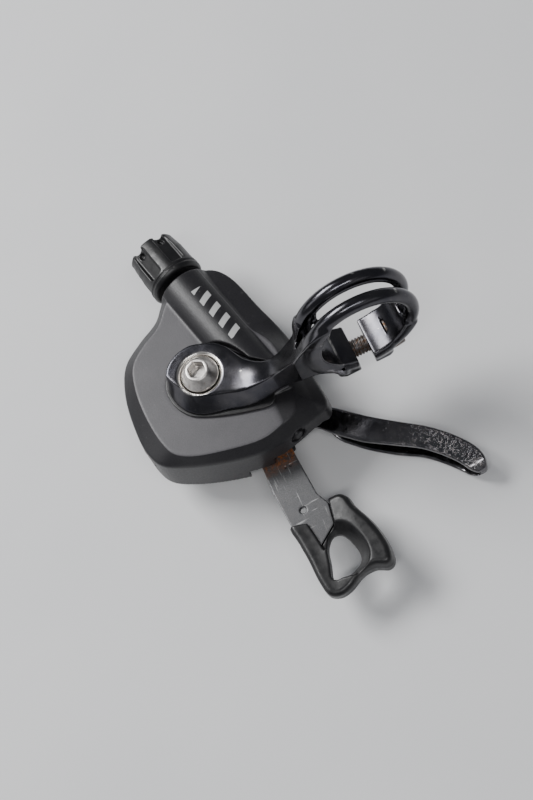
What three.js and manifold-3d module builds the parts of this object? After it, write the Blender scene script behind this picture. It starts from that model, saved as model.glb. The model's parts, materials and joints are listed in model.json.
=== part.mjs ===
// Left-hand trigger shifter for a flat bicycle handlebar, in millimetres.
// Frame: origin at the centre of the handlebar bore, +Y along the bar towards the
// cable side, +Z out of the top cover (along the main axle), -X from bar to housing.
import * as THREE from 'three';
import { mergeVertices } from 'three/addons/utils/BufferGeometryUtils.js';
import Module from 'manifold-3d';

const wasm = await Module();
wasm.setup();

// Handlebar clamp
const BAR_RADIUS = 11.1; // 22.2 mm bar
const BAND_RADIUS = 14.7; // outside of the solid part of the band
const BAND_HALF_WIDTH = 4.9;
const HOOP_RADIUS = 12.95; // centreline of each of the two hoops
const HOOP_ROD_RADIUS = 1.85;
const HOOP_OFFSET = 3.05; // hoops sit this far either side of the middle
const HOOP_START_DEG = -27; // where the hoops leave the right-hand ear
const HOOP_END_DEG = 155; // where they run into the arm
const EAR_GAP = [-3.7, 0.3]; // x of the two faces of the clamp's split
const EAR_LEFT_X = -9.6;
const EAR_RIGHT_X = 5.4;
const EAR_BOTTOM_Z = -17;
const CLAMP_BOLT_Z = -14.15;
const BRACKET_BOLT_Z = -9.95; // underside of the head of the bolt on the main axle

// Levels of the stack on the main axle, from the top down
const FOOT_TOP_Z = -9.2;
const FOOT_BOTTOM_Z = -14.2;
const COVER_TOP_Z = -15;
const COVER_WALL_Z = -29; // lower edge of the cover's wall
const LEVER_SLOT_TOP_Z = -26; // the wall ends here where the levers come out
const BLADE_SLOT_TOP_Z = -23.8; // and higher still over the thumb lever's blade
const CABLE_Z = -19.5; // height of the cable and of the barrel adjuster
const RATCHET_TOP_Z = -22.4;
const RATCHET_BOTTOM_Z = -24.2;
const RELEASE_TOP_Z = -26.5;
const RELEASE_BOTTOM_Z = -28.1;
const BASE_TOP_Z = -28.5;
const BASE_BOTTOM_Z = -29.9;
const LEVER_TOP_Z = -30.5;
const LEVER_PLATE_BOTTOM_Z = -32.1;
const TRAY_TOP_Z = -29.2;
const TRAY_FLOOR_Z = -34.6;
const TRAY_BOTTOM_Z = -36.2;
const GAP = 0.1; // between faces that bear on each other
const THROUGH = [-40, -20]; // levels that reach through every plate of the mechanism

// Axes
const AXLE = new THREE.Vector2(-40.2, 10.4);
const AXLE_RADIUS = 3.6;
const RELEASE_PIVOT = new THREE.Vector2(-31, -1);
const CABLE_ANGLE = THREE.MathUtils.degToRad(104); // direction of the cable, seen from above
const CABLE_END = new THREE.Vector2(-36.1, 41.5); // where the cable axis leaves the housing
const BOSS_RADIUS = 7.3;
const BOSS_END = -1.5; // where the boss stops, along the cable axis from CABLE_END
const DRUM_FLANGE_RADIUS = 12.3;
const DRUM_GROOVE_RADIUS = 11.1;
const RATCHET_RADIUS = 10.6;
const RATCHET_TEETH = 18;
const PAWL_RADIUS = 14.4; // distance of both pawl pivots from the main axle

const materials = {
  clampAlloy: new THREE.MeshStandardMaterial({ color: 0x3a3d40, roughness: 0.25, metalness: 0.9 }),
  coverPlastic: new THREE.MeshStandardMaterial({ color: 0x2b2d31, roughness: 0.5, metalness: 0.1 }),
  blackPlastic: new THREE.MeshStandardMaterial({ color: 0x15161a, roughness: 0.45, metalness: 0 }),
  steel: new THREE.MeshStandardMaterial({ color: 0xb9bbbd, roughness: 0.3, metalness: 1 }),
  darkSteel: new THREE.MeshStandardMaterial({ color: 0x4a4644, roughness: 0.45, metalness: 0.9 }),
  leverChrome: new THREE.MeshStandardMaterial({ color: 0x1a1b1e, roughness: 0.18, metalness: 0.85 }),
  plateAlloy: new THREE.MeshStandardMaterial({ color: 0xa9adb1, roughness: 0.4, metalness: 0.9 }),
  resin: new THREE.MeshStandardMaterial({ color: 0xd8d6cc, roughness: 0.6, metalness: 0 }),
  springSteel: new THREE.MeshStandardMaterial({ color: 0x8c8e90, roughness: 0.35, metalness: 1 }),
};

const group = new THREE.Group();

// ---------------------------------------------------------------- helpers

function addPart(name, shape, material) {
  const geometry = shape.isBufferGeometry ? shape : toGeometry(shape);
  const mesh = new THREE.Mesh(geometry, material);
  mesh.name = name;
  group.add(mesh);
}

function toSolid(geometry) {
  const bare = geometry.index ? geometry.toNonIndexed() : geometry.clone();
  bare.deleteAttribute('normal');
  bare.deleteAttribute('uv');
  const merged = mergeVertices(bare, 1e-4);
  return new wasm.Manifold(new wasm.Mesh({
    numProp: 3,
    vertProperties: new Float32Array(merged.attributes.position.array),
    triVerts: new Uint32Array(merged.index.array),
  }));
}

function toGeometry(solid) {
  const mesh = solid.getMesh();
  const geometry = new THREE.BufferGeometry();
  geometry.setAttribute('position', new THREE.BufferAttribute(mesh.vertProperties, 3));
  geometry.setIndex(new THREE.BufferAttribute(mesh.triVerts, 1));
  geometry.computeVertexNormals();
  return geometry;
}

function join(...geometries) {
  return geometries.map(asSolid).reduce((all, next) => all.add(next));
}

function cut(base, ...tools) {
  return tools.map(asSolid).reduce((left, tool) => left.subtract(tool), asSolid(base));
}

function asSolid(shape) {
  return shape.isBufferGeometry ? toSolid(shape) : shape;
}

function points2(list) {
  return list.map(([x, y]) => new THREE.Vector2(x, y));
}

// A closed smooth outline through a few points, counter-clockwise seen from above.
function smoothOutline(list, count) {
  const curve = new THREE.CatmullRomCurve3(
    list.map(([x, y]) => new THREE.Vector3(x, y, 0)), true, 'centripetal');
  return curve.getPoints(count).slice(0, -1).map((p) => new THREE.Vector2(p.x, p.y));
}

// The outline moved outwards by a distance (inwards when negative).
function offsetOutline(outline, distance) {
  return outline.map((point, i) => {
    const before = outline[(i + outline.length - 1) % outline.length];
    const after = outline[(i + 1) % outline.length];
    const along = after.clone().sub(before).normalize();
    return new THREE.Vector2(point.x + along.y * distance, point.y - along.x * distance);
  });
}

// An inner outline whose every point stays clear of the outer one by the same distance.
function insetOutline(outline, distance) {
  const clear = (point) => outline.every((a, i) => {
    const b = outline[(i + 1) % outline.length];
    const side = b.clone().sub(a);
    const t = THREE.MathUtils.clamp(point.clone().sub(a).dot(side) / side.lengthSq(), 0, 1);
    return point.distanceTo(a.clone().addScaledVector(side, t)) > distance * 0.985;
  });
  return offsetOutline(outline, -distance).filter(clear);
}

// A vertical solid between two levels over a plan outline, with optional holes.
function prism(outline, zLow, zHigh, holes = []) {
  const shape = new THREE.Shape(outline);
  holes.forEach((hole) => shape.holes.push(new THREE.Path(hole)));
  const geometry = new THREE.ExtrudeGeometry(shape, { depth: zHigh - zLow, bevelEnabled: false });
  return geometry.translate(0, 0, zLow);
}

function circle(centre, radius, sides = 32) {
  return Array.from({ length: sides }, (_, i) => {
    const angle = (2 * Math.PI * i) / sides;
    return new THREE.Vector2(centre.x + radius * Math.cos(angle), centre.y + radius * Math.sin(angle));
  });
}

// A point round the main axle.
function onCircle(radius, degrees) {
  const angle = THREE.MathUtils.degToRad(degrees);
  return new THREE.Vector2(AXLE.x + radius * Math.cos(angle), AXLE.y + radius * Math.sin(angle));
}

function disc(centre, radius, zLow, zHigh, sides = 32) {
  return prism(circle(centre, radius, sides), zLow, zHigh);
}

function ring(centre, outer, inner, zLow, zHigh, sides = 32) {
  return prism(circle(centre, outer, sides), zLow, zHigh, [circle(centre, inner, sides)]);
}

// A round solid about a vertical axis, from a profile of [radius, z].
function turned(centre, profile, sides = 32) {
  const geometry = new THREE.LatheGeometry(points2(profile), sides);
  return geometry.rotateX(Math.PI / 2).translate(centre.x, centre.y, 0);
}

// A stack of rings with the same number of points, closed at both ends.
function loft(rings) {
  const count = rings[0].length;
  const positions = rings.flat().flatMap((p) => [p.x, p.y, p.z]);
  const index = [];
  for (let r = 0; r + 1 < rings.length; r += 1) {
    for (let i = 0; i < count; i += 1) {
      const a = r * count + i;
      const b = r * count + ((i + 1) % count);
      index.push(a, b, b + count, a, b + count, a + count);
    }
  }
  const flat = capPlane(rings[0]);
  THREE.ShapeUtils.triangulateShape(flat(rings[0]), []).forEach(([a, b, c]) => index.push(a, c, b));
  const last = (rings.length - 1) * count;
  THREE.ShapeUtils.triangulateShape(flat(rings[rings.length - 1]), [])
    .forEach(([a, b, c]) => index.push(last + a, last + b, last + c));
  const geometry = new THREE.BufferGeometry();
  geometry.setAttribute('position', new THREE.Float32BufferAttribute(positions, 3));
  geometry.setIndex(signedVolume(positions, index) < 0 ? index.reverse() : index);
  return geometry;
}

// Positive when the faces point outwards.
function signedVolume(positions, index) {
  const corner = (i) => new THREE.Vector3().fromArray(positions, 3 * index[i]);
  let sum = 0;
  for (let i = 0; i < index.length; i += 3) {
    sum += corner(i).dot(corner(i + 1).cross(corner(i + 2)));
  }
  return sum;
}

// Flattens rings that face the same way as the first one to two dimensions.
function capPlane(first) {
  const normal = new THREE.Vector3();
  first.forEach((p, i) => normal.add(p.clone().cross(first[(i + 1) % first.length])));
  normal.normalize();
  const across = Math.abs(normal.z) > 0.9 ? new THREE.Vector3(1, 0, 0) : new THREE.Vector3(0, 0, 1);
  const u = across.clone().sub(normal.clone().multiplyScalar(across.dot(normal))).normalize();
  const v = normal.clone().cross(u);
  return (list) => list.map((p) => new THREE.Vector2(p.dot(u), p.dot(v)));
}

function atLevel(outline, z) {
  return outline.map((p) => new THREE.Vector3(p.x, p.y, z));
}

// A round bar of a given radius bent along a curve.
function bar(curve, radius, steps, sides = 8) {
  const section = new THREE.Shape(circle(new THREE.Vector2(), radius, sides));
  return new THREE.ExtrudeGeometry(section, { extrudePath: curve, steps, bevelEnabled: false });
}

// A curve given by a function of 0..1.
class FormulaCurve extends THREE.Curve {
  constructor(formula) {
    super();
    this.formula = formula;
  }

  getPoint(t, target = new THREE.Vector3()) {
    return target.copy(this.formula(t));
  }
}

// A bolt along +Z, head at the top, with a hexagon socket in the head.
function socketBolt({ headRadius, topRadius, headHeight, shankRadius, shankLength, socketAcross }) {
  const socketRadius = socketAcross / Math.sqrt(3);
  const body = new THREE.LatheGeometry(points2([
    [0, -shankLength], [shankRadius, -shankLength], [shankRadius, 0], [headRadius, 0],
    [headRadius, 0.5], [topRadius, headHeight], [0, headHeight],
  ]), 24).rotateX(Math.PI / 2);
  const socket = disc(new THREE.Vector2(), socketRadius, headHeight * 0.3, headHeight + 1, 6);
  return cut(body, socket);
}

function along(geometry, matrix) {
  return toGeometry(asSolid(geometry)).applyMatrix4(matrix);
}

// Places something built along +Z so that it lies on the cable axis, z = 0 at the housing's end.
const cableFrame = new THREE.Matrix4().makeTranslation(CABLE_END.x, CABLE_END.y, CABLE_Z)
  .multiply(new THREE.Matrix4().makeRotationZ(CABLE_ANGLE))
  .multiply(new THREE.Matrix4().makeRotationY(Math.PI / 2));

// ---------------------------------------------------------------- handlebar clamp

function hoop(side) {
  const start = THREE.MathUtils.degToRad(HOOP_START_DEG - 8);
  const end = THREE.MathUtils.degToRad(HOOP_END_DEG + 8);
  const curve = new FormulaCurve((t) => {
    const angle = start + (end - start) * t;
    return new THREE.Vector3(Math.cos(angle), 0, Math.sin(angle)).multiplyScalar(HOOP_RADIUS)
      .setY(side * HOOP_OFFSET);
  });
  return bar(curve, HOOP_ROD_RADIUS, 30, 10);
}

function bandSector() {
  const start = THREE.MathUtils.degToRad(HOOP_END_DEG);
  const end = THREE.MathUtils.degToRad(360 + HOOP_START_DEG);
  const shape = new THREE.Shape();
  shape.absarc(0, 0, BAND_RADIUS, start, end, false);
  shape.absarc(0, 0, BAR_RADIUS - 1, end, start, true);
  const geometry = new THREE.ExtrudeGeometry(shape, {
    depth: 2 * BAND_HALF_WIDTH, bevelEnabled: false, curveSegments: 28,
  });
  return geometry.rotateX(Math.PI / 2).translate(0, BAND_HALF_WIDTH, 0);
}

// The arm's cross-sections along x: front face, then back face, then the ridge between them.
const armSections = [
  { x: -8, front: [-4.9, -14.8, 9.8], back: [4.9, -14.8, 6], ridge: 9 },
  { x: -10.4, front: [-4.9, -10.6, 9.4], back: [4.9, -11, 3], ridge: 7.6 },
  { x: -14.5, front: [-4.9, -7.6, 7], back: [4.9, -9.6, -2], ridge: 3.4 },
  { x: -19, front: [-4.5, -7.2, 0.8], back: [5.7, -13, -9], ridge: -4 },
  { x: -24, front: [-2.9, -9.8, -5.6], back: [7, FOOT_BOTTOM_Z, -10.8], ridge: -8.2 },
  { x: -29, front: [-1.4, -13, -8.9], back: [11.6, FOOT_BOTTOM_Z, -9.8], ridge: -9.2 },
  { x: -34, front: [0.8, FOOT_BOTTOM_Z, -9.3], back: [15.2, FOOT_BOTTOM_Z, -9.5], ridge: -9.3 },
];

function arm() {
  return loft(armSections.map(({ x, front, back, ridge }) => {
    const [frontY, frontLow, frontHigh] = front;
    const [backY, backLow, backHigh] = back;
    const across = (t) => frontY + t * (backY - frontY);
    return [
      new THREE.Vector3(x, frontY, frontLow),
      new THREE.Vector3(x, frontY, frontHigh),
      new THREE.Vector3(x, across(0.35), ridge + 0.6 * (frontHigh - ridge)),
      new THREE.Vector3(x, across(0.7), ridge),
      new THREE.Vector3(x, backY, backHigh),
      new THREE.Vector3(x, backY, backLow),
    ];
  }));
}

// Plan outline of the foot's lower edge; its flank leans inwards from there.
const footOutline = smoothOutline([
  [-36.6, 18.9], [-40.2, 19.8], [-44.4, 19], [-47.6, 16.8], [-49.3, 13.6], [-49.6, 9.6], [-48.3, 5.8],
  [-46, 3], [-43, 1.3], [-38, 0], [-33.6, -1.5], [-28, -2.9], [-24, -3.7], [-23, 1.6], [-24, 6.8],
  [-27, 10], [-30, 14], [-33, 17],
], 54);

function foot() {
  const levels = [[FOOT_BOTTOM_Z, 1], [-12.4, 0.94], [FOOT_TOP_Z - 1, 0.84], [FOOT_TOP_Z, 0.75]];
  const shrunk = (size) => footOutline.map((p) => p.clone().sub(AXLE).multiplyScalar(size).add(AXLE));
  const slab = loft(levels.map(([z, size]) => atLevel(shrunk(size), z)));
  return cut(slab, new THREE.BoxGeometry(20, 40, 20).translate(-15, 0, -2));
}

function clampBracket() {
  const earWidth = EAR_RIGHT_X - EAR_LEFT_X;
  const ears = new THREE.BoxGeometry(earWidth, 2 * BAND_HALF_WIDTH, 7)
    .translate(EAR_LEFT_X + earWidth / 2, 0, EAR_BOTTOM_Z + 3.5);
  const bore = new THREE.CylinderGeometry(BAR_RADIUS, BAR_RADIUS, 30, 64);
  const split = new THREE.BoxGeometry(EAR_GAP[1] - EAR_GAP[0], 20, 12)
    .translate((EAR_GAP[0] + EAR_GAP[1]) / 2, 0, -15);
  const boltHole = new THREE.CylinderGeometry(2.55, 2.55, 33, 20).rotateZ(Math.PI / 2)
    .translate(4, 0, CLAMP_BOLT_Z);
  const headSeat = new THREE.CylinderGeometry(4.7, 4.7, 10, 28).rotateZ(Math.PI / 2)
    .translate(EAR_RIGHT_X + 5, 0, CLAMP_BOLT_Z);
  const window = new THREE.CylinderGeometry(4.2, 4.2, 2 * (HOOP_OFFSET - HOOP_ROD_RADIUS), 20)
    .scale(1, 1, 2.2).translate(-13.5, 0, 9.5);
  const seat = disc(AXLE, 5.25, BRACKET_BOLT_Z - GAP, -8, 32);
  const boltWay = disc(AXLE, 2.9, -16, -8, 24);
  const blank = join(bandSector(), ears, arm(), foot(), hoop(-1), hoop(1));
  return cut(blank, bore, split, boltHole, headSeat, window, seat, boltWay);
}

addPart('clamp_bracket', clampBracket(), materials.clampAlloy);

const clampBolt = socketBolt({
  headRadius: 4.3, topRadius: 4.0, headHeight: 3.4, shankRadius: 2.4, shankLength: 17, socketAcross: 4,
});
addPart('clamp_bolt', along(clampBolt, new THREE.Matrix4()
  .makeTranslation(EAR_RIGHT_X + GAP, 0, CLAMP_BOLT_Z)
  .multiply(new THREE.Matrix4().makeRotationY(Math.PI / 2))), materials.darkSteel);

const bracketBolt = socketBolt({
  headRadius: 4.8, topRadius: 2.9, headHeight: 3.2, shankRadius: 2.4, shankLength: 10.2, socketAcross: 4,
});
addPart('bracket_bolt', along(bracketBolt, new THREE.Matrix4()
  .makeTranslation(AXLE.x, AXLE.y, BRACKET_BOLT_Z)), materials.steel);

// A thin plate under the foot, its edge showing all round it.
const shimOutline = smoothOutline([
  [-27, -3.4], [-25.5, 0], [-26.5, 6], [-31, 15.5], [-35.5, 19], [-41, 20], [-46, 18.3],
  [-49.6, 14.7], [-50, 9], [-47.5, 4], [-43.5, 1.3], [-33.5, -2.4],
], 36);

function bracketShim() {
  return prism(shimOutline, COVER_TOP_Z + GAP, FOOT_BOTTOM_Z - GAP, [circle(AXLE, 4.4, 24)]);
}
addPart('bracket_shim', bracketShim(), materials.darkSteel);

// ---------------------------------------------------------------- housing

const wallOutline = smoothOutline([
  [-15.4, -7.4], [-15.4, 1], [-16.6, 13], [-20, 25], [-23.4, 36.5], [-26.6, 40.6], [-32, 42.4],
  [-38.5, 41.6], [-42.6, 38.2], [-46, 34], [-52, 30.6], [-57.8, 26.2], [-60.9, 18.5], [-61.9, 8],
  [-61.4, 1.4], [-59.2, -3.6], [-53.5, -7.2], [-44.5, -10.6], [-35.5, -12.7], [-30.5, -12.8],
  [-26.5, -12], [-23, -10.9], [-18.5, -9.2],
], 69);

const topOutline = smoothOutline([
  [-22.6, -4.2], [-21.4, 2], [-21, 12], [-27, 22], [-32, 35], [-36.5, 39.5], [-41, 36.2],
  [-45.6, 30.8], [-51, 27.7], [-55.4, 23.8], [-57.2, 17.3], [-57.4, 9], [-56.3, 1], [-54.6, -3.4],
  [-51, -6.1], [-42.6, -8.7], [-33.2, -10.3], [-28.4, -9.4], [-23.4, -7.2],
], 66);

function topCover() {
  const wall = loft([
    atLevel(offsetOutline(wallOutline, 0.7), COVER_WALL_Z),
    atLevel(wallOutline, CABLE_Z),
    atLevel(offsetOutline(wallOutline, -1.6), CABLE_Z + 1.7),
  ]);
  const plate = loft([
    atLevel(offsetOutline(topOutline, 3.2), CABLE_Z),
    atLevel(offsetOutline(topOutline, 1.9), COVER_TOP_Z - 1.9),
    atLevel(topOutline, COVER_TOP_Z),
  ]);
  const boss = along(new THREE.CylinderGeometry(BOSS_RADIUS, BOSS_RADIUS, 40, 40).rotateX(Math.PI / 2)
    .translate(0, 0, -21), cableFrame);
  const hollow = prism(insetOutline(wallOutline, 1.9), COVER_WALL_Z - 1, CABLE_Z - 1.8);
  const upperHollow = prism(insetOutline(topOutline, 2.2), CABLE_Z - 3, COVER_TOP_Z - 1.7);
  const cableBore = along(new THREE.CylinderGeometry(3.6, 3.6, 60, 24).rotateX(Math.PI / 2), cableFrame);
  const axleHole = disc(AXLE, AXLE_RADIUS + 0.3, COVER_TOP_Z - 5, COVER_TOP_Z + 1);
  const leverSlot = join(
    prism(points2([[-40.3, -20], [-5, -20], [-5, 24], [-24, 24], [-24, -4], [-40.3, -8]]),
      COVER_WALL_Z - 2, LEVER_SLOT_TOP_Z),
    prism(points2([[-30, -20], [-5, -20], [-5, 2], [-24, 2]]), COVER_WALL_Z - 2, BLADE_SLOT_TOP_Z),
  );
  const footPocket = prism(offsetOutline(shimOutline, 0.4), COVER_TOP_Z, 0);
  const armPocket = prism(points2([
    [-36, -2.4], [-8, -8], [-8, 6], [-19, 6.8], [-24, 8], [-27, 10.8], [-30, 14.8], [-33, 17.8], [-36, 19.4],
  ]), COVER_TOP_Z, 0);
  const beyondEnd = along(new THREE.BoxGeometry(60, 60, 20).translate(0, 0, 10 + BOSS_END), cableFrame);
  const plugHole = along(new THREE.CylinderGeometry(2.9, 2.9, 6, 24), plugFrame);
  const trimmedPlate = asSolid(plate).intersect(asSolid(prism(wallOutline, CABLE_Z - 1, 0)));
  return cut(join(wall, trimmedPlate, boss), hollow, upperHollow, cableBore, axleHole, leverSlot, plugHole,
    footPocket, armPocket, beyondEnd);
}

// The cable-access plug screws into the left-hand corner of the wall.
const PLUG_POINT = new THREE.Vector3(-60.5, 2.1, -22);
const plugFrame = new THREE.Matrix4().makeTranslation(PLUG_POINT.x, PLUG_POINT.y, PLUG_POINT.z)
  .multiply(new THREE.Matrix4().makeRotationZ(THREE.MathUtils.degToRad(192)))
  .multiply(new THREE.Matrix4().makeRotationZ(-Math.PI / 2));

function cablePlug() {
  const body = new THREE.LatheGeometry(points2([
    [0, -2.4], [2.5, -2.4], [2.5, 0.8], [2.1, 1.2], [0, 1.2],
  ]), 24);
  const slot = new THREE.BoxGeometry(5.5, 0.8, 0.9).translate(0, 1.1, 0);
  return along(cut(body, slot), plugFrame);
}

addPart('top_cover', topCover(), materials.coverPlastic);
addPart('cable_plug', cablePlug(), materials.resin);

// A shallow tray closes the housing from below; its wall is left open where the levers swing.
function bottomCover() {
  const steps = [[4, TRAY_BOTTOM_Z, TRAY_TOP_Z - 3], [2.8, TRAY_BOTTOM_Z + 1.2, TRAY_TOP_Z - 1.4],
    [1.4, TRAY_BOTTOM_Z + 4.2, TRAY_TOP_Z]];
  const tray = join(...steps.map(([inset, low, high]) => prism(insetOutline(wallOutline, inset), low, high)));
  const hollow = join(
    prism(insetOutline(wallOutline, 5.6), TRAY_FLOOR_Z, TRAY_TOP_Z),
    prism(insetOutline(wallOutline, 4.4), TRAY_TOP_Z - 3.9, TRAY_TOP_Z),
    prism(insetOutline(wallOutline, 3.2), BASE_BOTTOM_Z - GAP, TRAY_TOP_Z + 1),
  );
  const leverWay = prism(points2([
    [-50, -30], [5, -30], [5, 20], [-24, 20], [-31, 6], [-40, -3.5], [-50, -3.5],
  ]), TRAY_FLOOR_Z, TRAY_TOP_Z + 1);
  const nutHole = disc(AXLE, 4.6, TRAY_BOTTOM_Z - 1, TRAY_FLOOR_Z + 1, 32);
  const bladeWay = bladeCorner(-3, TRAY_BOTTOM_Z - 1, TRAY_TOP_Z + 1);
  const screwHoles = coverScrewPoints.map((p) => disc(p, 1.5, TRAY_BOTTOM_Z - 1, TRAY_TOP_Z + 1, 16));
  return cut(tray, hollow, leverWay, bladeWay, nutHole, ...screwHoles);
}

const coverScrewPoints = points2([[-55, -0.4], [-39, 35.6], [-25.6, 30]]);
addPart('bottom_cover', bottomCover(), materials.blackPlastic);

coverScrewPoints.forEach((point, i) => {
  const screw = socketBolt({
    headRadius: 2.1, topRadius: 1.6, headHeight: 1.2, shankRadius: 1.15, shankLength: 5.6, socketAcross: 1.6,
  });
  addPart(`cover_screw_${i + 1}`, along(screw, new THREE.Matrix4()
    .makeTranslation(point.x, point.y, TRAY_BOTTOM_Z - GAP)
    .multiply(new THREE.Matrix4().makeRotationX(Math.PI))), materials.steel);
});

// The steel plate that carries the mechanism, with an arc slot for the driving pawl's pin.
function arcSlot(radius, halfWidth, fromDeg, toDeg, zLow, zHigh) {
  const start = THREE.MathUtils.degToRad(fromDeg);
  const end = THREE.MathUtils.degToRad(toDeg);
  const shape = new THREE.Shape();
  shape.absarc(AXLE.x, AXLE.y, radius + halfWidth, start, end, false);
  shape.absarc(AXLE.x, AXLE.y, radius - halfWidth, end, start, true);
  return new THREE.ExtrudeGeometry(shape, { depth: zHigh - zLow, bevelEnabled: false, curveSegments: 20 })
    .translate(0, 0, zLow);
}

const DRIVE_PIN_DEG = 160;
const LEVER_SWEEP_DEG = 35;

// The front right-hand corner is cut back, so that the blade has room.
function bladeCorner(y, zLow, zHigh) {
  const corner = points2([[-27.6, -30], [5, -30], [5, y + 8], [-17, y + 5], [-21, y], [-27.6, y]]);
  return prism(corner, zLow, zHigh);
}

function basePlate() {
  const plate = prism(insetOutline(wallOutline, 3.6), BASE_BOTTOM_Z, BASE_TOP_Z);
  const pinSlot = arcSlot(PAWL_RADIUS, 1.9, DRIVE_PIN_DEG - LEVER_SWEEP_DEG - 8, DRIVE_PIN_DEG + 8,
    BASE_BOTTOM_Z - 1, BASE_TOP_Z + 1);
  const bladeWay = bladeCorner(-6, BASE_BOTTOM_Z - 1, BASE_TOP_Z + 1);
  const axleHole = disc(AXLE, AXLE_RADIUS + 0.15, ...THROUGH);
  const pivotHole = disc(RELEASE_PIVOT, 1.6, ...THROUGH, 20);
  const screwHoles = coverScrewPoints.map((p) => disc(p, 1.5, ...THROUGH, 16));
  return cut(plate, bladeWay, pinSlot, axleHole, pivotHole, ...screwHoles);
}
addPart('base_plate', basePlate(), materials.plateAlloy);

addPart('upper_plate', prism(circle(AXLE, 8.6, 32), COVER_TOP_Z - 2.7, COVER_TOP_Z - 1.8,
  [circle(AXLE, AXLE_RADIUS + 0.15, 24)]), materials.plateAlloy);

// ---------------------------------------------------------------- axle

const AXLE_TOP_Z = COVER_TOP_Z - 0.4;
const AXLE_BOTTOM_Z = -33.2;
const AXLE_BORE = 2.6; // clearance for the bracket bolt
addPart('main_axle', turned(AXLE, [
  [AXLE_BORE, AXLE_TOP_Z], [AXLE_BORE, AXLE_BOTTOM_Z], [AXLE_RADIUS, AXLE_BOTTOM_Z],
  [AXLE_RADIUS, AXLE_TOP_Z], [AXLE_BORE, AXLE_TOP_Z],
]), materials.steel);
addPart('axle_nut', cut(disc(AXLE, 4.2, -36.1, -33.3, 6), disc(AXLE, 1.8, -37, -35, 16)), materials.steel);
addPart('lever_washer', ring(AXLE, 6.2, AXLE_RADIUS + 0.15, BASE_BOTTOM_Z - 0.5, BASE_BOTTOM_Z - GAP),
  materials.steel);

// ---------------------------------------------------------------- cable drum and ratchet

function windingDrum() {
  const profile = [
    [AXLE_RADIUS + 0.1, -21.9], [DRUM_FLANGE_RADIUS, -21.9], [DRUM_FLANGE_RADIUS, -21],
    [DRUM_GROOVE_RADIUS, -20.2], [DRUM_GROOVE_RADIUS, -18.8], [DRUM_FLANGE_RADIUS, -18], [8.9, -18],
    [8.9, -20.3], [5, -20.3], [5, -18], [AXLE_RADIUS + 0.1, -18], [AXLE_RADIUS + 0.1, -21.9],
  ];
  const drum = turned(AXLE, profile, 40);
  const nipplePocket = disc(onCircle(10.6, -70), 2.2, -21.2, -17, 20);
  return cut(drum, nipplePocket);
}
addPart('winding_drum', windingDrum(), materials.blackPlastic);

function ratchetWheel() {
  const outline = [];
  for (let tooth = 0; tooth < RATCHET_TEETH; tooth += 1) {
    const base = (2 * Math.PI * tooth) / RATCHET_TEETH;
    const step = (2 * Math.PI) / RATCHET_TEETH;
    const profile = [[0, RATCHET_RADIUS], [0.12, RATCHET_RADIUS - 1.5], [0.6, RATCHET_RADIUS - 1]];
    profile.forEach(([part, radius]) => {
      const angle = base + part * step;
      outline.push(new THREE.Vector2(AXLE.x + radius * Math.cos(angle), AXLE.y + radius * Math.sin(angle)));
    });
  }
  return prism(outline, RATCHET_BOTTOM_Z, RATCHET_TOP_Z, [circle(AXLE, AXLE_RADIUS + 0.1, 24)]);
}
addPart('ratchet_wheel', ratchetWheel(), materials.steel);

// A flat spiral spring lies in the recess of the drum.
function spiralSpring(inner, outer, turns, z, height, startDeg) {
  const start = THREE.MathUtils.degToRad(startDeg);
  const steps = Math.round(turns * 14);
  const side = (offset) => Array.from({ length: steps + 1 }, (_, i) => {
    const t = i / steps;
    const radius = inner + (outer - inner) * t + offset;
    const angle = start + 2 * Math.PI * turns * t;
    return new THREE.Vector2(AXLE.x + radius * Math.cos(angle), AXLE.y + radius * Math.sin(angle));
  });
  return prism([...side(0.22), ...side(-0.22).reverse()].reverse(), z, z + height);
}
addPart('drum_return_spring', spiralSpring(5.6, 8.3, 3, -20.1, 1.9, 0), materials.springSteel);
addPart('lever_return_spring', spiralSpring(4.4, 7.6, 2.5, -34.1, 1.5, 40), materials.springSteel);

// ---------------------------------------------------------------- pawls

// A pawl: a round hub tapering to a nose, in plan.
function pawlShape(hub, hubRadius, nose, noseRadius) {
  const direction = nose.clone().sub(hub);
  const angle = direction.angle();
  const spread = Math.acos((hubRadius - noseRadius) / direction.length());
  const outline = [];
  for (let i = 0; i <= 14; i += 1) {
    const a = angle + spread + ((2 * Math.PI - 2 * spread) * i) / 14;
    outline.push(new THREE.Vector2(hub.x + hubRadius * Math.cos(a), hub.y + hubRadius * Math.sin(a)));
  }
  for (let i = 0; i <= 4; i += 1) {
    const a = angle - spread + (2 * spread * i) / 4;
    outline.push(new THREE.Vector2(nose.x + noseRadius * Math.cos(a), nose.y + noseRadius * Math.sin(a)));
  }
  return outline;
}

const drivePivot = onCircle(PAWL_RADIUS, DRIVE_PIN_DEG);
const holdPivot = onCircle(PAWL_RADIUS, -118);
const pawlPins = [
  ['drive_pawl', drivePivot, onCircle(RATCHET_RADIUS + 1.4, DRIVE_PIN_DEG - 38), BASE_BOTTOM_Z - 0.5],
  ['hold_pawl', holdPivot, onCircle(RATCHET_RADIUS + 1.4, -84), BASE_TOP_Z + GAP],
];
pawlPins.forEach(([name, pivot, nose, pinBottom]) => {
  const hubRadius = 2.7;
  addPart(name, prism(pawlShape(pivot, hubRadius, nose, 0.7), RATCHET_BOTTOM_Z, RATCHET_TOP_Z,
    [circle(pivot, 1.35, 20)]), materials.steel);
  addPart(`${name}_pin`, disc(pivot, 1.25, pinBottom, RATCHET_TOP_Z + 0.5, 20), materials.steel);
});

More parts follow.
